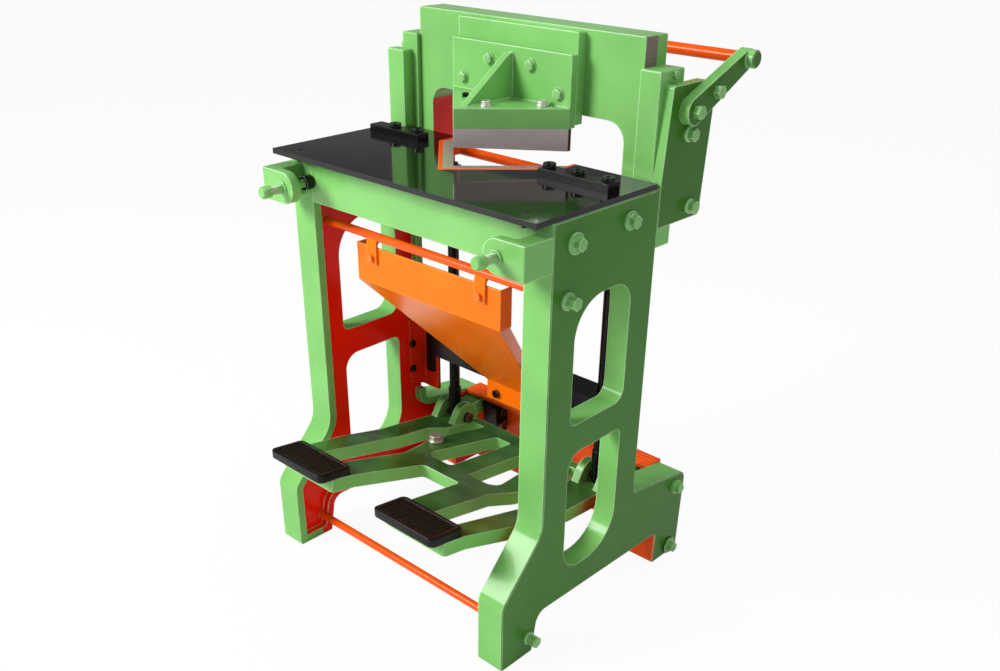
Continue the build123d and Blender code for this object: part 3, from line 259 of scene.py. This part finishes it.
def enamel(name, colour, highlight_colour, patches=None, corner=0.0034, shine=0.28):
    """Gloss enamel on castings and plates: soft clouds, lighter corners that are painted highlight and
    partly wear, a slight orange peel.
    """
    paint = Finish(name, Coat_Weight=shine * 0.5, Coat_Roughness=0.08, Specular_IOR_Level=shine)
    clouds = paint.noise(7.0)
    tone = paint.mix(clouds.rise(0.3, 0.7), lit(colour, 0.9), lit(colour, 1.06))
    for mask, patch in patches(paint) if patches else ():
        tone = paint.mix(mask, tone, patch)
    rounded = paint.round_edges(corner)
    edge = paint.edge(rounded)
    highlight_and_wear = paint.noise(60.0).rise(0.3, 0.6)
    # painted highlight on the rounded corners, partly wear, uneven by the noise
    tone = paint.mix(edge * (0.7 + highlight_and_wear * 0.3), tone, highlight_colour)
    relief = paint.noise(160.0, detail=1.0) + paint.noise(18.0, detail=1.0)
    paint.feed(
        Base_Color=tone,
        Roughness=0.2 + paint.noise(40.0) * 0.08,
        Normal=paint.bump(relief, 0.02, 0.0004, rounded),
    )
    return paint.material


def frame_patches(paint):
    """Red webs and toes, an orange ledge and heel, and painted shade: a deeper green on the outer faces."""
    x, y, z = paint.axes(paint.place)
    facing_x, facing_y, facing_z = paint.axes(paint.facing)
    across = x.size()
    # painted shade on the outer faces, at a share of 0.8
    outer = (facing_x.size() > FACING) * (across > OUTSIDE) * 0.8
    web = across.within(*WEB) * (facing_x.size() > FACING)
    toe = across.within(TOE_INSIDE, WEB[1]) * (y > TOE_REAR) * (z < TOE_TOP)
    ledge = across.within(*LEDGE) * (facing_z > LEANING) * (z < LEDGE_TOP)
    heel = (facing_y < -LEANING) * y.within(*HEEL) * (z < HEEL_TOP)
    return (outer, PAINTED_SHADE_GREEN), (web, RED), (toe, RED), (ledge, ORANGE), (heel, ORANGE)


def outer_shade_patches(paint):
    """Painted shade: a deeper green on the faces that look to either side."""
    facing_x, _, _ = paint.axes(paint.facing)
    return (((facing_x.size() > FACING) * 0.88, PAINTED_SHADE_GREEN),)


def crosshead_patches(paint):
    """Red on the arch's left wall, bare iron on the right end above the rail."""
    x, y, z = paint.axes(paint.place)
    facing_x, _, _ = paint.axes(paint.facing)
    wall = x.within(*ARCH_WALL) * (facing_x > LEANING)
    end = (facing_x > LEANING) * (x > BARE_END) * (z > rail_high.z) * (y < BARE_DEPTH)
    grain = paint.noise(18.0, vector=paint.stretched(1.0, 1.0, 14.0))
    bare = paint.mix(grain, lit(MACHINED, 0.6), lit(MACHINED, 1.3))
    return (wall, RED), (end, bare)


def treadle_patches(paint):
    """Most of the treadle's upward faces in a darker green, in blotches."""
    _, _, facing_z = paint.axes(paint.facing)
    blotches = paint.noise(9.0).rise(0.25, 0.7)
    return ((facing_z.rise(0.7, 0.95) * (0.7 + blotches * 0.25), TOP_FACE_GREEN),)


def shaft_patches(paint):
    """Green head on the stub shaft outside the frame; the rest is black."""
    x, _, _ = paint.axes(paint.place)
    return ((x.size() < OUTSIDE, BLACK),)


def screw_patches(paint):
    """Black pad at the screw's tip, and steel showing through on its turned part."""
    _, y, _ = paint.axes(paint.place)
    pad = y > SCREW_PAD_START
    bare = y.within(*SCREW_WEAR) * paint.noise(70.0).rise(0.42, 0.55)
    return (bare, WORN_STEEL), (pad, BLACK)


def fastener_patches(paint):
    """Black dome bolts on the chute's tongue; the rivets keep the chute's colour."""
    _, y, _ = paint.axes(paint.place)
    return ((y > 0.0, BLACK),)


def ground_steel(name, colour, along, dark_ends=False):
    """Bare steel with fine grinding lines along one direction and painted highlights on its edges."""
    steel = Finish(name, Metallic=0.82)
    lines = steel.noise(90.0, detail=4.0, vector=steel.stretched(*along))
    clouds = steel.noise(12.0)
    tone = steel.mix(lines, lit(colour, 0.8), lit(colour, 1.1))
    tone = steel.mix(clouds.rise(0.55, 0.8) * 0.25, tone, lit(colour, 0.7))
    rounded = steel.round_edges(0.001)
    if dark_ends:
        facing_x, _, _ = steel.axes(steel.facing)
        tone = steel.mix(facing_x.size() > SQUARE_ON, tone, BURNT_END)
    # painted highlight on the steel's edges
    tone = steel.mix(steel.edge(rounded) * 0.5, tone, STEEL_EDGE_HIGHLIGHT)
    steel.feed(
        Base_Color=tone,
        Roughness=0.3 + lines * 0.2,
        Normal=steel.bump(lines, 0.12, 0.0003, rounded),
    )
    return steel.material


def black_plate(name):
    """The table's black lacquer, polished like a mirror, with painted highlights on its edges."""
    lacquer = Finish(name, Coat_Weight=0.3, Coat_Roughness=0.03, Specular_IOR_Level=0.22)
    rounded = lacquer.round_edges(0.0008)
    smudge = lacquer.noise(5.0, detail=4.0)
    tone = lacquer.mix(smudge.rise(0.4, 0.75), BLACK, tint(24, 23, 22))
    # painted highlight along the table's edges
    tone = lacquer.mix(lacquer.edge(rounded) * 0.25, tone, EDGE_HIGHLIGHT_GREY)
    lacquer.feed(
        Base_Color=tone,
        Roughness=0.07 + smudge * 0.07,
        Normal=lacquer.bump(smudge, 0.05, 0.0004, rounded),
    )
    return lacquer.material


def dull_black(name, roughness, grain, edge_highlight_share, gloss=0.08):
    """Black oxide or rubber: fine grain, a softer shine and painted highlights on the corners."""
    dark = Finish(name, Coat_Weight=gloss, Coat_Roughness=0.12, Specular_IOR_Level=0.2)
    rounded = dark.round_edges(0.0015)
    speckle = dark.noise(grain, detail=3.0)
    tone = dark.mix(speckle, tint(5, 5, 6), tint(16, 16, 16))
    # painted highlight on the corners
    tone = dark.mix(dark.edge(rounded) * edge_highlight_share, tone, EDGE_HIGHLIGHT_GREY)
    dark.feed(
        Base_Color=tone,
        Roughness=roughness + speckle * 0.15,
        Normal=dark.bump(speckle, 0.25, 0.0003, rounded),
    )
    return dark.material


finish = {
    "green_paint": enamel("green_enamel", GREEN, GREEN_HIGHLIGHT),
    "frame_paint": enamel("frame_enamel", GREEN, GREEN_HIGHLIGHT, frame_patches, shine=0.15),
    "crosshead_paint": enamel("crosshead_enamel", GREEN, GREEN_HIGHLIGHT, crosshead_patches),
    # the cheeks and rear arms carry painted shade on their side faces
    "outer_paint": enamel("outer_shaded_enamel", GREEN, GREEN_HIGHLIGHT, outer_shade_patches, shine=0.15),
    "treadle_paint": enamel("treadle_enamel", GREEN, GREEN_HIGHLIGHT, treadle_patches, shine=0.16),
    "screw_paint": enamel("screw_enamel", GREEN, GREEN_HIGHLIGHT, screw_patches, corner=0.001),
    "shaft_paint": enamel("shaft_enamel", GREEN, GREEN_HIGHLIGHT, shaft_patches, corner=0.001),
    "fastener_paint": enamel("fastener_enamel", AMBER, RIVET_HIGHLIGHT, fastener_patches, corner=0.001),
    "crown_paint": enamel("crown_enamel", CROWN_GREEN, CROWN_HIGHLIGHT, corner=0.001),
    "red_paint": enamel("red_enamel", ANGLE_RED, ANGLE_HIGHLIGHT, shine=0.18),
    "orange_paint": enamel("orange_enamel", ORANGE, ORANGE_HIGHLIGHT, corner=0.0012, shine=0.18),
    "amber_paint": enamel("chute_enamel", AMBER, AMBER_HIGHLIGHT, shine=0.1),
    "black_lacquer": black_plate("table_lacquer"),
    "black_gloss": dull_black("black_oxide", 0.22, 120.0, 0.15),
    "black_rubber": dull_black("pad_rubber", 0.3, 200.0, 0.3, gloss=0.06),
    "bright_steel": ground_steel("blade_steel", STEEL, (1.0, 1.0, 14.0), dark_ends=True),
    "zinc_steel": ground_steel("zinc_plate", ZINC, (1.0, 1.0, 1.0)),
    "brown_steel": ground_steel("brown_steel", BROWN_STEEL, (1.0, 3.0, 1.0)),
}
own_finish = {
    "side_frame_right": "frame_paint", "side_frame_left": "frame_paint",
    "cheek_right": "outer_paint", "cheek_left": "outer_paint",
    "rear_arm_right": "outer_paint", "rear_arm_left": "outer_paint",
    "crosshead": "crosshead_paint", "treadle": "treadle_paint",
    "adjusting_screw_right": "screw_paint", "adjusting_screw_left": "screw_paint",
    "table_plate": "black_lacquer", "chute": "amber_paint", "chute_fasteners": "fastener_paint",
    "die_holder": "orange_paint",
    "pivot_shaft_right": "shaft_paint", "pivot_shaft_left": "shaft_paint",
}
for row in frame["record"]["subparts"]:
    node = row["node"]
    chosen = finish[own_finish.get(node, row["material_slot"])]
    for holder in nodes[node].material_slots:
        holder.material = chosen


# ---------------------------------------------------------------- mesh tools
def place_piece(name, body, material, bm, smooth_angle=35.0):
    """Turn the mesh code's result into a piece that rides on a body."""
    bmesh.ops.recalc_face_normals(bm, faces=bm.faces)
    mesh = bpy.data.meshes.new(name)
    bm.to_mesh(mesh)
    bm.free()
    piece = bpy.data.objects.new(name, mesh)
    bpy.context.scene.collection.objects.link(piece)
    mesh.materials.append(material)
    mesh.shade_smooth()
    mesh.set_sharp_from_angle(angle=radians(smooth_angle))
    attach(piece, body)
    return piece


def bridge(bm, rings):
    """Skin a row of closed rings of points, with flat caps at its ends."""
    layers = [[bm.verts.new(point) for point in ring] for ring in rings]
    count = len(rings[0])
    for lower, upper in zip(layers, layers[1:]):
        for n in range(count):
            m = (n + 1) % count
            bm.faces.new((lower[n], lower[m], upper[m], upper[n]))
    bm.faces.new(list(reversed(layers[0])))
    bm.faces.new(layers[-1])


def round_ring(base, radius, height, sides, spin=None):
    """Points of a circle at a height over its base; spin turns +Z to the circle's axis."""
    points = []
    for n in range(sides):
        angle = 2 * pi * n / sides
        point = Vector((radius * cos(angle), radius * sin(angle), height))
        points.append(base + (spin @ point if spin else point))
    return points


def rounded_rectangle(low, high, radius, steps=6):
    """Points of a rectangle with round corners, from its two corners in a plane."""
    points = []
    for turn, (cx, cy) in enumerate((
        (high[0] - radius, high[1] - radius), (low[0] + radius, high[1] - radius),
        (low[0] + radius, low[1] + radius), (high[0] - radius, low[1] + radius),
    )):
        for step in range(steps + 1):
            angle = (turn + step / steps) * pi / 2
            points.append((cx + radius * cos(angle), cy + radius * sin(angle)))
    return points


# ---------------------------------------------------------------- foot pads
PAD_PITCH = radians(7.4)
PAD_RADIUS = 0.012
PAD_EDGE = 0.0025
PAD_BORDER = 0.0085
PAD_EDGE_STEPS = 4
PAD_SMALLEST_CORNER = 0.003
RIB_DEPTH = 0.0024
RIB_HALF_WIDTH = 0.0024
RIB_STEPS = 6
RIB_COUNT = 17
GROOVE_SLOPE = 0.0008
JOIN = 0.0003          # how far a rib is let into the pad


def ribbed_pad(side, node):
    """A foot pad with a raised border and ribs in its middle, in place of the plain one."""
    low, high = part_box(node)
    depth = high.y - low.y
    rise = high.z - low.z - depth * tan(PAD_PITCH)

    def seat(x, y, height):
        """A point at that height over the pad's sloping underside."""
        return Vector((x, y, low.z + (high.y - y) * tan(PAD_PITCH) + height))

    def ring(inset, height):
        corner_low = (low.x + inset, low.y + inset)
        corner_high = (high.x - inset, high.y - inset)
        outline = rounded_rectangle(corner_low, corner_high, max(PAD_RADIUS - inset, PAD_SMALLEST_CORNER))
        return [seat(x, y, height) for x, y in outline]

    bm = bmesh.new()
    rings = [ring(0.0, 0.0)]
    for step in range(PAD_EDGE_STEPS + 1):
        angle = step / PAD_EDGE_STEPS * pi / 2
        rings.append(ring(PAD_EDGE * (1 - cos(angle)), rise - PAD_EDGE * (1 - sin(angle))))
    rings += [ring(PAD_BORDER, rise), ring(PAD_BORDER + GROOVE_SLOPE, rise - RIB_DEPTH)]
    bridge(bm, rings)
    field = PAD_BORDER + 0.0002
    pitch = (high.x - low.x - 2 * field) / (RIB_COUNT + 1)
    for rib in range(RIB_COUNT):
        middle = low.x + field + pitch * (rib + 1)
        foot = rise - RIB_DEPTH - JOIN
        profile = []
        for step in range(RIB_STEPS + 1):
            angle = pi * step / RIB_STEPS
            profile.append((middle - RIB_HALF_WIDTH * cos(angle), foot + (RIB_DEPTH + 0.0001) * sin(angle)))
        ends = [[seat(x, y, h) for x, h in profile] for y in (low.y + field, high.y - field)]
        bridge(bm, ends)
    pad = place_piece(f"ribbed_pad_{side}", "treadle", finish["black_rubber"], bm)
    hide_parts(node)


for side in ("right", "left"):
    ribbed_pad(side, f"foot_pad_{side}")


# ---------------------------------------------------------------- small fasteners
def flat_ends(node, direction, widest):
    """Middles of the node's flat faces that look along a direction, up to a width."""
    direction = Vector(direction)
    mesh = nodes[node].data
    owner = list(range(len(mesh.vertices)))

    def root(n):
        while owner[n] != n:
            n = owner[n]
        return n

    chosen = [face for face in mesh.polygons if face.normal.dot(direction) > 0.999]
    for face in chosen:
        first = root(face.vertices[0])
        for other in face.vertices[1:]:
            owner[root(other)] = first
    groups = {}
    for face in chosen:
        groups.setdefault(root(face.vertices[0]), set()).update(face.vertices)
    middles = []
    for members in groups.values():
        points = [mesh.vertices[n].co for n in members]
        low = Vector([min(p[k] for p in points) for k in range(3)])
        high = Vector([max(p[k] for p in points) for k in range(3)])
        if (high - low).length < widest * 1.45:
            middles.append((low + high) / 2)
    return sorted(middles, key=lambda middle: tuple(round(value, 4) for value in middle))


def turned(bm, base, direction, profile, sides=28):
    """A solid of revolution on a base point; the profile lists (radius, height)."""
    spin = Vector(direction).to_track_quat("Z", "Y")
    bridge(bm, [round_ring(base, radius, height, sides, spin) for radius, height in profile])


def crowned(radius, height):
    """Profile of a low dome that starts a little inside what carries it."""
    foot = 0.0001
    dome = [(radius * cos(angle), foot + height * sin(angle)) for angle in (0.35, 0.7, 1.05, 1.4)]
    return [(radius, -0.0003), (radius, foot)] + dome


# a turned crown on each hexagon head; the heads within the arms are the smaller ones
HEAD_WIDEST, CROWN_RADIUS, CROWN_HEIGHT = 0.026, 0.0098, 0.0009
ARMS_START, INNER_SHARE = 0.33, 0.55
for node, name in (("frame_bolts", "frame_bolt_crowns"), ("arm_bolts", "arm_bolt_crowns")):
    bm = bmesh.new()
    for sign in (-1, 1):
        for middle in flat_ends(node, (sign, 0, 0), HEAD_WIDEST):
            inner = node == "arm_bolts" and abs(middle.x) <= ARMS_START
            radius = CROWN_RADIUS * (INNER_SHARE if inner else 1.0)
            turned(bm, middle, (sign, 0, 0), crowned(radius, CROWN_HEIGHT))
    place_piece(name, "frame", finish["crown_paint"], bm)

# crowns and washers of the bolts that hold the blade bracket
SMALL_HEAD_WIDEST = 0.022
BRACKET_HEAD = 0.0072
bm = bmesh.new()
for middle in flat_ends("bracket_bolts", (0, -1, 0), SMALL_HEAD_WIDEST):
    turned(bm, middle, (0, -1, 0), crowned(0.008, 0.0008))
    seat = middle + Vector((0, BRACKET_HEAD, 0))
    washer = [(0.0128, 0.0), (0.0128, 0.0018), (0.0122, 0.0024), (0.009, 0.0024)]
    turned(bm, seat, (0, -1, 0), washer)
place_piece("bracket_bolt_trim", "crosshead", finish["crown_paint"], bm)

bm = bmesh.new()
for middle in flat_ends("flange_bolts", (0, 0, 1), SMALL_HEAD_WIDEST):
    turned(bm, middle, (0, 0, 1), crowned(0.0082, 0.0012))
place_piece("flange_bolt_crowns", "crosshead", finish["zinc_steel"], bm)

# the fences' low cap screws
SCREW_SIDES = 30
FENCE_HEAD_RADIUS, FENCE_HEAD_HEIGHT = 0.012, 0.0085
SOCKET_RADIUS, SOCKET_DEPTH = 0.0055, 0.005


def socket_screw(bm, base):
    """Low cap screw with a hexagon socket, standing on its base point."""
    radius, height = FENCE_HEAD_RADIUS, FENCE_HEAD_HEIGHT
    profile = [
        (radius, -0.0002), (radius, height - 0.0012), (radius - 0.0005, height - 0.0004),
        (radius - 0.0014, height), (SOCKET_RADIUS * 1.25, height),
    ]
    rings = [round_ring(base, size, rise, SCREW_SIDES) for size, rise in profile]
    for rise in (height - 0.0006, height - SOCKET_DEPTH):
        ring = []
        for n in range(SCREW_SIDES):
            angle = 2 * pi * n / SCREW_SIDES
            size = SOCKET_RADIUS * cos(pi / 6) / cos(angle % (pi / 3) - pi / 6)
            ring.append(base + Vector((size * cos(angle), size * sin(angle), rise)))
        rings.append(ring)
    bridge(bm, rings)


HEAD_OVER_FENCE = 0.01
_, fence_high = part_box("fence_right")
bm = bmesh.new()
for fence in ("fence_right", "fence_left"):
    low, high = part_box(fence)
    for middle in flat_ends("fence_screws", (0, 0, 1), HEAD_WIDEST):
        if low.x < middle.x < high.x and middle.z > fence_high.z + HEAD_OVER_FENCE:
            socket_screw(bm, Vector((middle.x, middle.y, fence_high.z)))
cap_screws = place_piece("fence_cap_screws", "frame", finish["black_gloss"], bm)
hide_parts("fence_screws")

# the treadle's bolt: a plated hexagon on a wide washer
BOLT_RADIUS, BOLT_HEIGHT, BOLT_CHAMFER = 0.0145, 0.0105, 0.0014
WASHER_RADIUS, WASHER_HEIGHT, WASHER_EDGE = 0.019, 0.0026, 0.0005
up = (0, 0, 1)
bolt_low, bolt_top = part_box("treadle_bolt")
bolt_base = Vector(((bolt_low.x + bolt_top.x) / 2, (bolt_low.y + bolt_top.y) / 2, bolt_low.z))
shoulder = WASHER_HEIGHT + BOLT_HEIGHT - BOLT_CHAMFER
washer = [
    (WASHER_RADIUS, -0.0003), (WASHER_RADIUS, WASHER_HEIGHT - WASHER_EDGE),
    (WASHER_RADIUS - WASHER_EDGE, WASHER_HEIGHT),
]
flats = [(BOLT_RADIUS, WASHER_HEIGHT - 0.0002), (BOLT_RADIUS, shoulder)]
chamfer = [(BOLT_RADIUS * 0.86, shoulder - 0.0002), (BOLT_RADIUS * 0.8, shoulder + BOLT_CHAMFER)]
bm = bmesh.new()
turned(bm, bolt_base, up, washer)
turned(bm, bolt_base, up, flats, sides=6)
turned(bm, bolt_base, up, chamfer)
hexagon = place_piece("treadle_hexagon", "treadle", finish["zinc_steel"], bm)
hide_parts("treadle_bolt")

# round heads of the clevis pins
PIN_WIDEST = 0.03
PIN_HEAD = [(0.0122, -0.0016), (0.0122, 0.0006), (0.0108, 0.0014), (0.004, 0.0018)]
bm = bmesh.new()
for sign in (-1, 1):
    for middle in flat_ends("clevis_pins", (sign, 0, 0), PIN_WIDEST):
        turned(bm, middle, (sign, 0, 0), PIN_HEAD)
place_piece("clevis_pin_heads", "treadle", finish["brown_steel"], bm)

# ---------------------------------------------------------------- blade bracket's weld
BEAD_RADIUS = 0.0023
BEAD_PITCH = 0.0036


def bead_row(bm, start, end):
    """A row of small overlapping drops of weld from start to end."""
    run = Vector(end) - Vector(start)
    count = int(run.length / BEAD_PITCH)
    for n in range(count + 1):
        centre = Vector(start) + run * n / count
        drop = bmesh.ops.create_icosphere(bm, subdivisions=2, radius=BEAD_RADIUS)
        bmesh.ops.translate(bm, verts=drop["verts"], vec=centre)


GUSSET_HALF = 0.007
GUSSET_CUT, FLANGE_CUT = 0.012, 0.004      # how far the beads stop before the corners
_, bracket_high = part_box("blade_bracket")
_, bolt_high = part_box("bracket_bolts")
flange_low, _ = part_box("flange_bolts")
upright_front = bolt_high.y
bm = bmesh.new()
for sign in (-1, 1):
    corner = (sign * GUSSET_HALF, upright_front, flange_low.z)
    bead_row(bm, corner, (sign * GUSSET_HALF, upright_front, bracket_high.z - GUSSET_CUT))
    bead_row(bm, corner, (sign * (bracket_high.x - FLANGE_CUT), upright_front, flange_low.z))
place_piece("bracket_weld", "crosshead", finish["green_paint"], bm, smooth_angle=180.0)

# ---------------------------------------------------------------- hanger straps
STRAP_WIDTH, STRAP_THICKNESS = 0.027, 0.005
NECK_UNDER_ROD = 0.007
TUCK = 0.55            # how high the strap's end reaches, as a share of the rod's radius below its middle
strap_low, strap_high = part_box("chute_straps")
rod_low, rod_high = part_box("upper_front_rod")
panel_low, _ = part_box("chute")
rod_middle = (rod_low + rod_high) / 2
rod_radius = (rod_high.z - rod_low.z) / 2
back = panel_low.y + 0.0001
front = back - STRAP_THICKNESS
neck = rod_middle.z - rod_radius - NECK_UNDER_ROD
tip = rod_middle.z - rod_radius * TUCK
side_line = [
    (front, strap_low.z), (front, neck), (front + 0.003, tip),
    (rod_middle.y + 0.004, tip), (back + 0.0005, neck), (back, strap_low.z),
]
bm = bmesh.new()
for sign in (-1, 1):
    outside = sign * strap_high.x
    edges = (outside, outside - sign * STRAP_WIDTH)
    bridge(bm, [[Vector((x, y, z)) for y, z in side_line] for x in edges])
straps = place_piece("hanger_straps", "frame", finish["amber_paint"], bm)
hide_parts("chute_straps")

# ---------------------------------------------------------------- ridges on the rear channel
RIDGE_PITCH = 0.0125
RIDGE_HALF_WIDTH, RIDGE_HEIGHT, RIDGE_SINK = 0.0024, 0.0016, 0.0004
CHANNEL_MARGIN, RIDGE_END = 0.003, 0.004
channel_low, channel_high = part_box("rear_channel")
edges = (channel_low.x + RIDGE_END, channel_high.x - RIDGE_END)
bm = bmesh.new()
ridge = channel_low.y + 2 * CHANNEL_MARGIN
while ridge < channel_high.y - 2 * CHANNEL_MARGIN:
    arc = []
    for angle in (0.0, 0.6, 1.2, 1.9, 2.5, pi):
        height = channel_high.z - RIDGE_SINK + RIDGE_HEIGHT * sin(angle)
        arc.append((ridge + RIDGE_HALF_WIDTH * cos(angle), height))
    bridge(bm, [[Vector((x, y, z)) for y, z in arc] for x in edges])
    ridge += RIDGE_PITCH
place_piece("channel_ridges", "frame", finish["orange_paint"], bm)

# ---------------------------------------------------------------- adjusting screws' threads
THREAD_PITCH = 0.0025
THREAD_START, THREAD_END = 0.0285, 0.0455      # from the screw's outer end
KNOB_RINGS = (0.0055, 0.0125)
THREAD_CREST = [(0.0078, 0.0), (0.0089, 0.0008), (0.0089, 0.0013), (0.0078, 0.0021)]
KNOB_RING = [(0.0114, 0.0), (0.0121, 0.0008), (0.0121, 0.0024), (0.0114, 0.0032)]
for side in ("right", "left"):
    low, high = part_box(f"adjusting_screw_{side}")
    axis_x, axis_z = (low.x + high.x) / 2, (low.z + high.z) / 2
    bm = bmesh.new()
    place = low.y + THREAD_START
    while place < low.y + THREAD_END:
        turned(bm, Vector((axis_x, place, axis_z)), (0, 1, 0), THREAD_CREST, sides=24)
        place += THREAD_PITCH
    for ring in KNOB_RINGS:
        turned(bm, Vector((axis_x, low.y + ring, axis_z)), (0, 1, 0), KNOB_RING, sides=32)
    place_piece(f"screw_thread_{side}", f"screw_{side}", finish["screw_paint"], bm)

# ---------------------------------------------------------------- stage
FLOOR_REACH = 60.0
FLOOR_HEIGHT = -0.0006
FLOOR_SHOWN_WHITE, FLOOR_MIRRORED_WHITE = 0.94, 0.3
SKY_LIGHT = 0.3
# what glossy surfaces mirror: pale at the horizon, a dim studio ceiling above
SKY_HORIZON, SKY_CEILING = (0.05, 0.5), (0.25, 0.12)

floor_mesh = bpy.data.meshes.new("studio_floor")
floor_mesh.from_pydata(
    [
        (x * FLOOR_REACH, y * FLOOR_REACH, FLOOR_HEIGHT)
        for x, y in ((-1, -1), (1, -1), (1, 1), (-1, 1))
    ],
    [], [(0, 1, 2, 3)],
)
studio_floor = bpy.data.objects.new("studio_floor", floor_mesh)
bpy.context.scene.collection.objects.link(studio_floor)
floor_finish = Finish("pale_floor", Roughness=0.9, Specular_IOR_Level=0.1)
pale, paler = lit(WHITE, 0.9), lit(WHITE, 0.95)
floor_finish.feed(Base_Color=floor_finish.mix(floor_finish.noise(1.5), pale, paler))
camera_ray, glossy_ray = floor_finish.rays("Is Camera Ray", "Is Glossy Ray")
glow = floor_finish.node("ShaderNodeEmission", {}, {"Color": WHITE, "Strength": 1.0})
shown = floor_finish.node("ShaderNodeMixShader", {}, {
    0: camera_ray * FLOOR_SHOWN_WHITE + glossy_ray * FLOOR_MIRRORED_WHITE,
    1: Wire(floor_finish, floor_finish.shader.outputs[0]),
    2: glow,
})
floor_finish.show(shown)
floor_mesh.materials.append(floor_finish.material)

world = bpy.data.worlds.new("studio_sky")
bpy.context.scene.world = world
sky = Sky(world)
_, _, height = sky.axes(Wire(sky, sky.tree.nodes.new("ShaderNodeTexCoord").outputs["Generated"]))
camera_ray, glossy_ray, clear_ray = sky.rays("Is Camera Ray", "Is Glossy Ray", "Is Transmission Ray")
mirrored = sky.node("ShaderNodeMapRange", {}, {
    "Value": height,
    "From Min": SKY_HORIZON[0], "From Max": SKY_CEILING[0],
    "To Min": SKY_HORIZON[1], "To Max": SKY_CEILING[1],
})
bright = mirrored.math("MAXIMUM", mirrored, camera_ray)
sky_light = sky.node("ShaderNodeBackground", {}, {"Color": WHITE, "Strength": SKY_LIGHT})
sky_shown = sky.node("ShaderNodeBackground", {}, {"Color": WHITE, "Strength": bright})
seen = camera_ray + glossy_ray + clear_ray
sky.show(sky.node("ShaderNodeMixShader", {}, {0: seen, 1: sky_light, 2: sky_shown}))


def softbox(name, place, target, size, power):
    """A square area light that faces the target."""
    lamp = bpy.data.lights.new(name, "AREA")
    lamp.shape = "SQUARE"
    lamp.size = size
    lamp.energy = power
    holder = bpy.data.objects.new(name, lamp)
    holder.location = place
    holder.rotation_euler = (Vector(target) - Vector(place)).to_track_quat("-Z", "Y").to_euler()
    bpy.context.scene.collection.objects.link(holder)


softbox("key_softbox", (-1.9, -3.0, 2.7), (0.0, 0.0, 0.6), 1.5, 186.0)
softbox("fill_softbox", (3.4, -0.6, 1.8), (0.0, 0.0, 0.5), 1.4, 14.0)
softbox("top_softbox", (0.3, 0.9, 3.4), (0.0, 0.0, 0.6), 1.4, 30.0)

# ---------------------------------------------------------------- camera
CAMERA_PLACE = Vector((1.3585, -1.4027, 1.3622))
CAMERA_YAW, CAMERA_PITCH, CAMERA_ROLL = radians(42.4), radians(-29.8), radians(0.8)
IMAGE_WIDTH, IMAGE_HEIGHT = 1000.0, 671.0
FOCAL_PIXELS = 1036.0
CENTRE_ROW = 451.0
forward = Vector((
    -sin(CAMERA_YAW) * cos(CAMERA_PITCH), cos(CAMERA_YAW) * cos(CAMERA_PITCH), sin(CAMERA_PITCH)
))
level = Vector((cos(CAMERA_YAW), sin(CAMERA_YAW), 0.0))
upright = level.cross(forward)
right = level * cos(CAMERA_ROLL) + upright * sin(CAMERA_ROLL)
upward = upright * cos(CAMERA_ROLL) - level * sin(CAMERA_ROLL)
lens = bpy.data.cameras.new("photo_camera")
lens.sensor_width = 36.0
lens.lens = FOCAL_PIXELS * lens.sensor_width / IMAGE_WIDTH
lens.shift_y = (CENTRE_ROW - IMAGE_HEIGHT / 2) / IMAGE_WIDTH
camera = bpy.data.objects.new("photo_camera", lens)
turn = Matrix((right, upward, -forward)).transposed()
camera.matrix_world = Matrix.Translation(CAMERA_PLACE) @ turn.to_4x4()
bpy.context.scene.collection.objects.link(camera)
bpy.context.scene.camera = camera
bpy.context.scene.view_settings.view_transform = "Standard"
